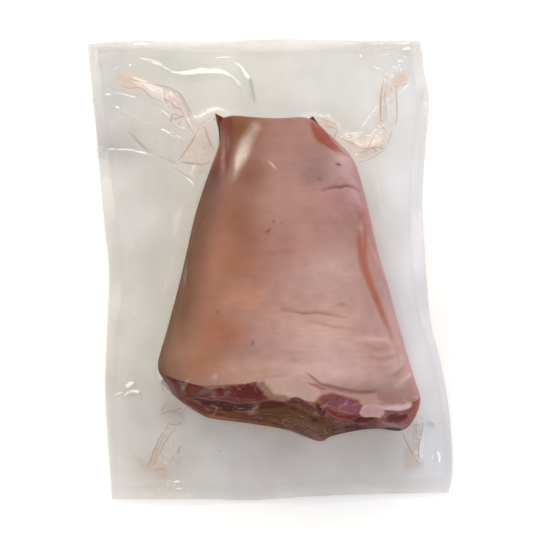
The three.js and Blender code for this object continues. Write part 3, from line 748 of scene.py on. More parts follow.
# Fine tension lines in the film over the meat: a route and half a width in mm.
TIGHT_LINES = [
    ([(-26.8, 63), (-26.6, 56), (-26.5, 48)], 0.7), ([(-24.3, 75), (-23.6, 69), (-23, 62)], 0.9),
    ([(-53.3, -79.5), (-51.5, -80.8), (-50.3, -83.1), (-49.2, -87.5)], 0.7),
    ([(-60.3, -78), (-56.4, -82.8), (-53.9, -88.2)], 0.6),
    ([(-46.4, -89.6), (-42.1, -87.9), (-37.6, -86.3), (-33.1, -84.9), (-31, -83.6), (-28, -83.2)], 0.6),
    ([(-31.7, -84.8), (-31, -88.2), (-29.1, -91)], 1.2), ([(-22, -85.7), (-24.3, -88)], 0.7),
    ([(-9.6, -92.9), (-5.6, -92.7), (-4.6, -93.9), (-6.2, -95.5), (-9.9, -98.3)], 0.7),
    ([(60.3, 18.1), (57, 14.7), (56, 9.5)], 0.9), ([(58.3, 12.4), (58.8, 7.4), (59.2, 1)], 0.7),
    ([(33.8, -94.8), (37.1, -95.3), (41.1, -96.2), (45.4, -97.7), (49.9, -98.7), (55.2, -99.1)], 0.6),
    ([(66, -99.3), (69, -98.6), (72.3, -97.7)], 0.8), ([(73.5, -103.6), (78.3, -105.3), (83.7, -105.8)], 0.7),
    ([(65.5, -90.9), (66.2, -92.2), (64.8, -93.8)], 0.7),
    ([(72.9, -94.9), (79.5, -93.4), (87.8, -92.8)], 1.0),
    ([(96, -85.1), (95.9, -92.3), (95.5, -94.2), (94.4, -97.4)], 0.8), ([(30, -98.9), (31.6, -98.4)], 0.8),
    ([(1.3, 54.2), (4.2, 51.5), (6.7, 48.1)], 0.5),
]
# Where the film over the meat is glassy: a streak's route and half its width, and then spots with their x, y,
# half a width and half a length, all in mm.
GLASSY_STREAK = [(-6.5, 77), (-9.8, 71.1), (-12.2, 66), (-14.6, 58.4), (-17.4, 53.6), (-20.8, 45)], 4.2
GLASSY = [(-26.5, 60, 1.5, 14), (58.5, 13, 2, 5), (-49.5, -14, 1.2, 9), (-30.1, -78.5, 1.5, 1.5),
          (86, -76.1, 1.5, 1.5)]


def crease_over(x, y, creases, steepness=CREASE_STEEPNESS):
    """How far creases lift the film: sharp along their middles, and tapering to nothing at their ends."""
    lift = np.zeros(x.shape)
    for route, half_width in creases:
        near = near_to(x, y, route, 6 * half_width * MM)
        if near.any():
            gap, share = far_from_line(x[near], y[near], route)
            taper = np.sin(np.pi * np.clip(share, 0.01, 0.99)) ** 0.4
            height = steepness * half_width * MM
            lift[near] += height * taper * np.exp(1 - np.sqrt(1 + (gap / (half_width * MM)) ** 2))
    return lift


def film_top(u, v):
    across, along = across_from(u), across_from(v)
    places = upper_form(across, along)
    tents = tent_over(places[:, 0], places[:, 1], TENTS)
    lines = crease_over(places[:, 0], places[:, 1], TIGHT_LINES) * rim_fade(across, along)
    places[:, 2] = np.maximum(places[:, 2], seam_height(along) + tents) + lines + FILM_THICKNESS / 2
    return places


def film_bottom(u, v):
    places = lower_form(across_from(u), across_from(v))
    places[:, 2] += FILM_THICKNESS / 2
    rim = on_rim(u, v)
    places[rim] = film_top(u[rim], v[rim])
    return places


def tight_film_mesh():
    mesh = bmesh.new()
    glassy = mesh.verts.layers.float.new("glassy")
    top, shares = add_grid(mesh, FILM_ACROSS, FILM_ALONG, film_top)
    add_grid(mesh, FILM_ACROSS, FILM_ALONG, film_bottom, inside_out=True)
    mesh.normal_update()
    across, along = across_from(shares[:, 0]), across_from(shares[:, 1])
    places = np.array([vertex.co for vertex in top])
    relief = np.maximum(meat_relief(places, across, along), FILM_SPANS) * rim_fade(across, along)
    for vertex, stands_out in zip(top, relief):
        vertex.co += vertex.normal * stands_out
    masks = [mound(places[:, 0], places[:, 1], *spot) for spot in GLASSY]
    masks += [0.6 * line_mask(places[:, 0], places[:, 1], route, 2.2 * half_width)
              for route, half_width in TIGHT_LINES]
    masks.append(line_mask(places[:, 0], places[:, 1], *GLASSY_STREAK))
    for vertex, mask in zip(top, np.max(masks, axis=0)):
        vertex[glassy] = mask
    return mesh


def film_gloss(material, facing, at_a_slant, roughness=0.1, **normal):
    """The share of the film's shine and the shine itself. The share is this facing the eye, and more at a
    slant. A normal, where there is one, is named Normal."""
    slant = add_node(material, "ShaderNodeLayerWeight", {"Blend": 0.5, **normal}).outputs["Facing"]
    steep = calculate(material, "POWER", slant, 5.0)
    share = calculate(material, "MULTIPLY_ADD", steep, at_a_slant, facing)
    gloss = add_node(material, "ShaderNodeBsdfAnisotropic",
                     {"Color": (1, 1, 1, 1), "Roughness": roughness, **normal})
    return share, gloss.outputs[0]


def tight_film():
    """Clear polyamide and polyethylene film on meat. It gives a dull sheen over dry rind, and glassy lights
    where juice lies under it."""
    material = new_material("clear_film_tight_on_meat")
    glassy = layer(material, "glassy")
    # The rind's grain, 1 mm from lump to lump.
    grain = noise_at(material, place_on(material), 900.0, 2.0)
    strength = remap(material, glassy, 0.1, 0.7, 0.02, 0.85)
    bump = add_node(material, "ShaderNodeBump", {"Height": grain, "Strength": strength, "Distance": 0.0002})
    blur = remap(material, glassy, 0.1, 0.7, 0.5, 0.17)
    wet = remap(material, glassy, 0.1, 1.0, 0.012, 0.14)
    share, gloss = film_gloss(material, wet, 0.05, blur, Normal=bump.outputs["Normal"])
    return see_surface(material, blend(material, share, clear_light(material), gloss))


tight_form = tight_film_mesh()
tight_shape = shape_of(tight_form)
let_light_through(finish_piece("pouch_film_on_meat", tight_form, [tight_film()]))

# The pouch's border: round the knuckle the two sheets lie together, slope down to the table and are welded in
# a band along each edge. Its corners are drawn into folds with juice in them. It throws a faint shadow.
FRONT_LEFT, FRONT_RIGHT, BACK_LEFT, BACK_RIGHT = (-96, -149.2), (114.4, -145), (-117.3, 147.4), (101.8, 149.8)
POUCH_LEFT = [FRONT_LEFT, (-99, -115), (-101.5, -78), (-100.5, -40), (-100.5, -4), (-103.5, 25), (-107, 55),
              (-112, 103), BACK_LEFT]
POUCH_RIGHT = [FRONT_RIGHT, (117.3, -128), (115.5, -92), (110.5, -62), (105.7, -40), (103, -10), (101.2, 31),
               (102.3, 61), (106.4, 108), (104, 127), BACK_RIGHT]
POUCH_FRONT = [FRONT_LEFT, (-35, -149.2), (-10, -149.8), (34, -147.3), (65, -146.1), FRONT_RIGHT]
POUCH_BACK = [BACK_LEFT, (-96, 148.8), (-82, 149.4), (-43, 148.8), (-4, 149.5), (55, 149.8), BACK_RIGHT]
POUCH_EDGE_HEIGHT, POUCH_EDGE_WAVE, POUCH_CORNER_DROP = 3.6 * MM, 1.5 * MM, 1.6 * MM
POUCH_EDGE_WAVES, SLOPE_AT_SIDES, SLOPE_AT_ENDS = 9, 12 * MM, 5 * MM
ROUND_BORDER, RINGS_UNDER, RINGS_OVER = 880, 10, 92
WELD_WIDTH = 10 * MM
# How milky the border looks, with painted shade and painted light in it: denser at the left, and in front of
# the meat where its shadow falls, and thinner and bluish at the right. Each patch: x, y, half a width and
# half a length in mm, a colour and its density.
HAZE, HAZE_DENSITY = "#B6B0A6", 0.194
HAZE_AND_PAINTED_LIGHT_PATCHES = [
    (-100, 120, 22, 26, "#B2AFAE", 0.302), (-96, 78, 18, 14, "#B2AEAF", 0.413),
    (-70, 88, 16, 16, "#B6AEAA", 0.286), (-86, 30, 22, 34, "#B3B0AB", 0.219),
    (-86, -40, 20, 36, "#B6B2A4", 0.201), (-84, -100, 20, 26, "#B4AEAC", 0.241),
    (-60, -128, 26, 16, "#B8B0A6", 0.307), (0, -130, 34, 14, "#B7ACAC", 0.249),
    (60, -128, 28, 14, "#B7ABAC", 0.257), (104, -120, 14, 30, "#A6A8BF", 0.142),
    (100, -60, 14, 34, "#9E9EC5", 0.03), (94, 0, 14, 34, "#9EA2C5", 0.0378),
    (88, 52, 16, 28, "#A7A9BE", 0.108), (92, 112, 14, 26, "#A8ACB9", 0.13),
    (48, 118, 30, 22, "#B1AFAE", 0.161), (-8, 120, 34, 22, "#B3B2A8", 0.188),
    (-60, 134, 26, 12, "#B4B3A7", 0.278),
]
# Wide, soft waves of slack film: a route and half a width in mm.
SLACK_WAVES = [
    ([(87.6, 114), (91, 107), (92, 96), (90, 80), (87.5, 60), (87, 30), (89, 0), (94, -35)], 3),
    ([(94.5, 116), (95.5, 100), (94.5, 80), (92, 40), (93, 0), (98, -50)], 2.6),
    ([(100, -72), (104, -85), (107, -96), (109, -110)], 3), ([(22, 102), (42, 107), (62, 117), (70, 118)], 4),
    ([(-104, 100), (-90, 92), (-70, 82)], 5), ([(-96, 60), (-84, 30), (-76, -10), (-82, -50)], 6),
    ([(-40, -112), (0, -124), (60, -126)], 6), ([(-70, 110), (-30, 112), (20, 110), (60, 100)], 6),
]
SLACK_STEEPNESS = 0.22
# The border's own unevenness: how high and how wide its lumps are, in mm, and their seed.
SLACK_LUMPS = [(0.5, 42, 0.0), (0.16, 14, 3.0), (0.04, 4, 6.0)]
# The lower sheet follows the film's tents by this share.
TENT_SHARE_UNDER = 0.55
# The corner folds: at the knuckle's four corners the slack film is drawn into crumpled rolls that lie over on
# the border. Each roll: its route, its half widths at both ends, its height and how deeply it is crumpled,
# all in mm.
FOLD_ROLLS = [
    ([(-95, 122), (-84, 117.5), (-75, 113.5), (-66, 108.5), (-58, 103), (-52, 97), (-44, 88)],
     (6.5, 6), 1.3, 0.3),
    ([(-46, 65), (-43.5, 75), (-41.5, 89)], (10, 2), 1.1, 0.3),
    ([(33, 93.2), (46, 90.7)], (3, 2.4), 0.8, 0.1),
    ([(47, 85), (56, 79.5), (64, 76.5), (73, 79), (79, 86)], (6, 6), 1.6, 0.7),
    ([(79, 87), (79.8, 98), (79.7, 108), (80.3, 118), (82, 128)], (6, 7), 0.9, 0.3),
    ([(-66, -96), (-57, -95.5), (-53, -99)], (5, 7), 1.2, 0.6),
    ([(-57, -102), (-61, -113), (-65, -123), (-70, -132)], (6, 9), 1.4, 0.3),
    ([(97, -99), (95, -112), (93.5, -122), (93, -130)], (4, 6), 1.2, 0.3),
]
# The rolls' facets: how wide they are in mm, how deep, and their seed.
FOLD_FACETS = [(5.5, 2.0, 31.0), (2.4, 1.2, 32.0)]
# Smears of juice in the folds: corners and how soft the edge is, in mm, how dense the smear is, its colour.
SMEARS = [
    ([(-99, 119), (-97, 124), (-92, 129), (-86, 130), (-82, 127), (-82, 122), (-78, 120), (-78, 114),
      (-84, 115.5), (-90, 116.5)], 4, 0.24, "#C3A794"),
    ([(-94, 122), (-90, 124.5), (-86, 122), (-82, 118), (-88, 118)], 5, 0.30, "#C29D84"),
    ([(-80, 121), (-62, 116.5), (-55, 112), (-47, 97), (-42, 91), (-46, 87), (-55, 93), (-61, 98), (-66, 105),
      (-78, 113.5)], 3, 0.19, "#C0A998"),
    ([(-66, 117), (-57, 113), (-53, 104), (-60, 101), (-66, 107)], 3, 0.23, "#B59B8A"),
    ([(-42, 91), (-56, 68.5), (-35, 64), (-33.5, 73)], 2, 0.18, "#C2ADA2"),
    ([(-42, 92), (-57, 68), (-52, 67), (-41, 85)], 3, 0.21, "#C09C88"),
    ([(-42, 91), (-40, 78), (-33, 66), (-32, 73), (-37, 86)], 3, 0.22, "#BC9682"),
    ([(-33, 98), (-42, 91), (-40, 90), (-34, 73), (-30, 78), (-29.5, 90)], 2, 0.17, "#C0A796"),
    ([(32, 96), (46, 92.5), (47, 89), (37, 89.8)], 1.2, 0.29, "#C8AA97"),
    ([(46, 89), (62, 85), (70, 86), (74, 92), (82, 84), (78, 76), (70, 74), (60, 70), (52, 75), (45, 80)],
     4, 0.21, "#C8B09F"),
    ([(58, 72), (66, 77), (72, 80), (79, 80), (77, 75), (68, 72), (60, 69)], 3, 0.27, "#C6A992"),
    ([(73.8, 94), (74, 105), (74.6, 113), (76, 120), (77.5, 128), (80, 128), (79.5, 120), (78.2, 112),
      (77.8, 104), (79, 94)], 1.6, 0.30, "#C9A993"),
    ([(83.5, 92), (84.3, 105), (84.2, 118), (86, 118), (86, 105), (85.5, 92)], 1.2, 0.23, "#C0AA9B"),
    ([(84, 115), (82.5, 121), (84, 128), (88, 129.5), (93, 123.5), (90.5, 121), (87, 117)],
     2, 0.28, "#C9A791"),
    ([(83, 119), (85, 124), (88, 123), (88, 119.5)], 4, 0.30, "#C7A085"),
    ([(71, 131), (76, 128), (78, 122), (79, 128)], 3, 0.23, "#CAB29F"),
    ([(-67.5, -97), (-63, -88), (-57, -87), (-49, -95), (-51, -102), (-60, -103.5)], 2.5, 0.23, "#AA998F"),
    ([(-62, -103.5), (-70.5, -120), (-75, -130), (-69.5, -130), (-67, -120), (-60.5, -107)],
     1.6, 0.30, "#B59C8B"),
    ([(-61, -104), (-51, -104), (-54, -122), (-60, -130), (-68, -130)], 3, 0.21, "#B19D92"),
    ([(-84, -121.5), (-77, -124), (-73, -128), (-70, -130), (-66, -126), (-60, -128), (-60, -134),
      (-66, -136), (-74, -132), (-79, -129)], 3.5, 0.30, "#BB9D8A"),
    ([(93, -104), (99.5, -101.5), (96, -118), (95.5, -125), (92.5, -119)], 2, 0.27, "#BCA292"),
    ([(88, -117), (91, -118.5), (95.5, -126), (99.5, -126), (98, -129), (93, -130.5), (88, -131),
      (86.5, -125)], 3.5, 0.32, "#C5AB9B"),
]
# The stretched film near the meat is too steep to mirror the window: it is dull up to the first distance and
# shiny from the second. A smear dulls it too.
DULL_TO, SHINY_FROM = 6 * MM, 22 * MM
DULL_NEAR_MEAT, DULL_IN_SMEARS = 0.975, 0.585


def pouch_edge(across, along):
    front, back = curve_through(POUCH_FRONT)(across), curve_through(POUCH_BACK)(across)
    left, right = curve_through(POUCH_LEFT)(along), curve_through(POUCH_RIGHT)(along)
    ends = np.where((along == 0)[:, None], front, back)
    sides = np.where((across == 0)[:, None], left, right)
    return np.where(((along == 0) | (along == 1))[:, None], ends, sides)


def outline_shares(turn):
    """Shares of the knuckle's width and length at a share of the way round its outline."""
    side = np.minimum(np.floor(turn * 4 + 1e-9), 3)
    share = across_from(np.clip(turn * 4 - side, 0, 1))
    across = np.select([side == 0, side == 1, side == 2], [share, 1.0, 1 - share], 0.0)
    along = np.select([side == 0, side == 1, side == 2], [0.0, share, 1.0], 1 - share)
    return across, along


def round_border(u, v):
    """Out along the border's underside, round the pouch's edge, back over its upper side and closed."""
    row = np.rint(v * (RINGS_UNDER + RINGS_OVER + 2)).astype(int)
    under = (row <= RINGS_UNDER) | (row == RINGS_UNDER + RINGS_OVER + 2)
    outwards = np.where(under, row / RINGS_UNDER, 1 - (row - RINGS_UNDER - 1) / RINGS_OVER)
    outwards = np.where(row == RINGS_UNDER + RINGS_OVER + 2, 0, outwards)
    across, along = outline_shares(u)
    return across, along, under, outwards, pouch_edge(across, along)


def border_form(u, v):
    across, along, under, outwards, edge_place = round_border(u, v)
    place = mix(seen_from_above(across, along), edge_place, outwards[:, None])
    corner = (2 * across - 1) ** 2 * (2 * along - 1) ** 2
    wave = POUCH_EDGE_WAVE * np.sin(POUCH_EDGE_WAVES * np.arctan2(place[:, 1], place[:, 0]) + 0.8)
    edge = POUCH_EDGE_HEIGHT + wave * (1 - corner) - POUCH_CORNER_DROP * corner
    from_meat = outwards * np.linalg.norm(edge_place - seen_from_above(across, along), axis=1)
    slope = mix(SLOPE_AT_SIDES, SLOPE_AT_ENDS, (2 * along - 1) ** 8)
    height = mix(edge, seam_height(along), (1 - np.minimum(1, from_meat / slope)) ** 2)
    flat = np.column_stack([place, np.zeros(len(place))])
    slack = crease_over(place[:, 0], place[:, 1], SLACK_WAVES, SLACK_STEEPNESS)
    edge_fade, rim_fade = ease(1 - outwards, 0, 0.12), ease(outwards, 0, 0.1)
    tents = tent_over(place[:, 0], place[:, 1], TENTS) * edge_fade
    tents = tents * np.where(under, TENT_SHARE_UNDER * rim_fade, 1)
    waves = sum(height * MM * lumpy(flat, size, seed) for height, size, seed in SLACK_LUMPS)
    height = height + tents + (waves + slack + fold_relief(place)) * rim_fade
    return np.column_stack([place, height + np.where(under, -1, 1) * FILM_THICKNESS / 2])


def fold_relief(place):
    """How far the corner folds stand out from the border."""
    flat = np.column_stack([place, np.zeros(len(place))])
    facets = 2 - sum(depth * np.abs(lumpy(flat, size, seed)) for size, depth, seed in FOLD_FACETS)
    relief = np.zeros(len(place))
    for route, widths, height, crumple in FOLD_ROLLS:
        gap, share = far_from_line(place[:, 0], place[:, 1], route)
        width = mix(widths[0], widths[1], share) * MM
        round_back = np.clip(1 - (gap / width) ** 2, 0, 1) * ease(share, 0, 0.3) * ease(1 - share, 0, 0.4)
        relief = np.maximum(relief, round_back * (height + crumple * facets) * MM)
    return relief


def haze_and_painted_light(x, y):
    """The border's milky colour and its density at each place, with painted shade and painted light in them.
    """
    layers = [(mound(x, y, *place), patch, dense) for *place, patch, dense in HAZE_AND_PAINTED_LIGHT_PATCHES]
    layers += [(inside(x / MM, y / MM, corners, softness), patch, dense)
               for corners, softness, dense, patch in SMEARS]
    colour, density = np.tile(linear(HAZE), (len(x), 1)), np.full(len(x), HAZE_DENSITY)
    for mask, patch, dense in layers:
        colour, density = painted(colour, patch, mask), mix(density, dense, mask)
    return colour, density


def border_mesh():
    mesh = bmesh.new()
    weld = mesh.verts.layers.float.new("weld")
    milk_and_painted_light = mesh.verts.layers.float.new("milk_and_painted_light")
    tone = mesh.verts.layers.float_color.new("tone")
    shine = mesh.verts.layers.float.new("shine")
    vertices, shares = add_grid(mesh, ROUND_BORDER, RINGS_UNDER + RINGS_OVER + 2, border_form)
    across, along, _, _, edges = round_border(shares[:, 0], shares[:, 1])
    places = np.array([vertex.co for vertex in vertices])
    from_meat = np.linalg.norm(places[:, :2] - seen_from_above(across, along), axis=1)
    dull = DULL_NEAR_MEAT * (1 - ease(from_meat, DULL_TO, SHINY_FROM))
    for corners, softness, _, _ in SMEARS:
        smeared = inside(places[:, 0] / MM, places[:, 1] / MM, corners, softness)
        dull = np.maximum(dull, DULL_IN_SMEARS * smeared)
    for vertex, edge_place, dim, colour, density in zip(vertices, edges, dull,
                                                        *haze_and_painted_light(places[:, 0], places[:, 1])):
        vertex[shine] = 1 - dim
        vertex[weld] = math.hypot(vertex.co.x - edge_place[0], vertex.co.y - edge_place[1]) / WELD_WIDTH
        vertex[milk_and_painted_light] = density
        vertex[tone] = (*colour, 1)
    return mesh


def border_film():
    """Two sheets of the film together. They give sharp bright lights along creases, a faint warm grey haze
    with painted shade and painted light in it, and a milkier, finely embossed band where they are welded."""
    material = new_material("clear_film_border")
    place = place_on(material)
    weld = layer(material, "weld")
    # Haze clouds 30 mm wide, and the weld's grain, 0.9 mm from dot to dot.
    cloud = noise_at(material, place, 33.0, 3.0)
    uneven = remap(material, cloud, 0.35, 0.65, 0.85, 1.15)
    band = remap(material, weld, 0.8, 1.15, 0.03, 0.0)
    # The haze's density carries painted shade and painted light.
    haze = calculate(material, "MULTIPLY_ADD", layer(material, "milk_and_painted_light"), uneven, band)
    dots = add_node(material, "ShaderNodeTexVoronoi", {"Vector": place, "Scale": 1100.0})
    in_band = remap(material, weld, 0.7, 1.1, 0.6, 0.06)
    bump = add_node(material, "ShaderNodeBump",
                    {"Height": dots.outputs["Distance"], "Strength": in_band, "Distance": 0.0004})
    facing = calculate(material, "MULTIPLY", layer(material, "shine"), 0.06)
    share, gloss = film_gloss(material, facing, 0.2, Normal=bump.outputs["Normal"])
    milky = add_node(material, "ShaderNodeBsdfPrincipled",
                     {"Base Color": layer(material, "tone", "Color"), "Roughness": 0.5,
                      "Specular IOR Level": 0.0})
    body = blend(material, haze, clear_light(material), milky.outputs[0])
    return see_surface(material, blend(material, share, body, gloss))


loose_form = border_mesh()
loose_shape = shape_of(loose_form)
finish_piece("pouch_film_border", loose_form, [border_film()])

# Juice: a red-brown brine of water, smoke and meat colour that the vacuum has drawn out. It fills hollows
# between meat and film: the two corners of the shank end, a channel along the right side and the left corner
# of the sawn face.
JUICE_UNDER_FILM = 0.15 * MM
JUICE_THINNEST, JUICE_DEEPEST = 0.2 * MM, 4 * MM
JUICE_ACROSS, JUICE_ALONG = 18, 60
# Each pool of juice lies between two lines: their points in mm, its colour, how dense it looks, and over what
# share of its width its colour comes in from each line.
JUICE_POOLS = {
    "juice_right_ear": ([(28.4, 89.6), (27.4, 81), (27.8, 75), (30.5, 68), (38, 64), (46, 58)],
                        [(31.8, 89.8), (34.4, 83.5), (38, 76.5), (41.5, 70.5), (46, 65.5), (52, 60)],
                        "#8A3422", 0.66, 0.25, 0.05),
    "juice_left_ear": ([(-32, 88.6), (-30.1, 85.6), (-28.6, 81), (-29, 75), (-31, 67), (-34.5, 57),
                        (-35, 46)],
                       [(-22, 88.4), (-19.5, 84), (-20.5, 71), (-19.5, 58), (-22, 45)],
                       "#83321F", 0.66, 0.1, 0.55),
    "juice_right_channel": ([(57, 24), (55.5, 8), (55.5, -3), (57, -13), (60.5, -23), (65, -34), (71, -48),
                             (77, -62)],
                            [(61.5, 23), (63, 8), (62.8, -3), (63.6, -12), (66, -21), (70, -32), (75.5, -46),
                             (80, -61)], "#A84E38", 0.5, 0.5, 0.45),
    "juice_sawn_corner": ([(-66, -78), (-61, -83), (-55, -88), (-47, -93)],
                          [(-61, -76), (-56, -78), (-50, -81), (-45, -87)], "#6B2A1E", 0.6, 0.1, 0.5),
}
ABOVE = Vector((0, 0, 0.2))
DOWN = Vector((0, 0, -1))


def height_of(shapes, places):
    """How high the highest of these shapes is at each x and y, and 0 where none is."""
    heights = []
    for x, y in places:
        hits = [shape.ray_cast(Vector((x, y, 0)) + ABOVE, DOWN)[0] for shape in shapes]
        heights.append(max([hit.z for hit in hits if hit] + [0]))
    return np.array(heights)


def between(line_a, line_b, across, along):
    """Places between two lines, at a share of the way across and along them."""
    return mix(curve_through(line_a)(along), curve_through(line_b)(along), across[:, None])


def juice_mesh(line_a, line_b, soft_a, soft_b):
    def surface(u, v, is_bottom):
        places = between(line_a, line_b, u, v)
        film = height_of([tight_shape, loose_shape], places) - JUICE_UNDER_FILM
        gap = np.clip(film - height_of([knuckle_shape], places), JUICE_THINNEST, JUICE_DEEPEST)
        full = np.clip(np.sin(np.pi * u) * np.sin(np.pi * v) * 5, 0, 1)
        return np.column_stack([places, film - gap * full * is_bottom])

    mesh = bmesh.new()
    dense = mesh.verts.layers.float.new("dense")
    top, shares = add_grid(mesh, JUICE_ACROSS, JUICE_ALONG, lambda u, v: surface(u, v, 0))
    add_grid(mesh, JUICE_ACROSS, JUICE_ALONG, lambda u, v: surface(u, v, 1), inside_out=True)
    u, v = shares.T
    masks = ease(u, 0, soft_a) * ease(1 - u, 0, soft_b) * ease(v, 0, 0.02) * ease(1 - v, 0, 0.3)
    for vertex, mask in zip(top, masks):
        vertex[dense] = mask
    return mesh


def meat_juice(name, colour, density):
    """Meat juice: clear and coloured, like strong tea with a little blood. It gives a deep red-brown tint."""
    material = new_material(name)
    share = calculate(material, "MULTIPLY", layer(material, "dense"), density)
    tinted = add_node(material, "ShaderNodeBsdfPrincipled",
                      {"Base Color": (*linear(colour), 1), "Roughness": 0.2, "IOR": 1.34,
                       "Specular IOR Level": 0.2})
    return see_surface(material, blend(material, share, clear_light(material), tinted.outputs[0]))


for pool, (line_a, line_b, colour, density, soft_a, soft_b) in JUICE_POOLS.items():
    let_light_through(finish_piece(pool, juice_mesh(line_a, line_b, soft_a, soft_b),
                                   [meat_juice("meat_" + pool, colour, density)]))

# Creases: sharp, low ridges of the film, pinched while the pouch was drawn tight. They run over the border,
# its folds and the sawn face. Their flanks mirror the window as thin bright lines, and juice colours some.
CREASE_ACROSS, CREASE_STEP, CREASE_OVER_FILM = 10, 0.9 * MM, 0.1 * MM
# Juice in a crease looks this much denser than its value says.
CREASE_JUICE = 1.9
# How steep a crease's flanks are: a crease that runs across is steeper towards the front, per metre of y.
CREASE_RISE, CREASE_RISE_TO_FRONT = 0.355, 0.8
# A bright crease is this much wider than a dull one. A crease's width and steepness waver by these shares.
GLEAM_WIDENS, WIDTH_WAVER, RISE_WAVER = 0.3, 0.3, 0.1
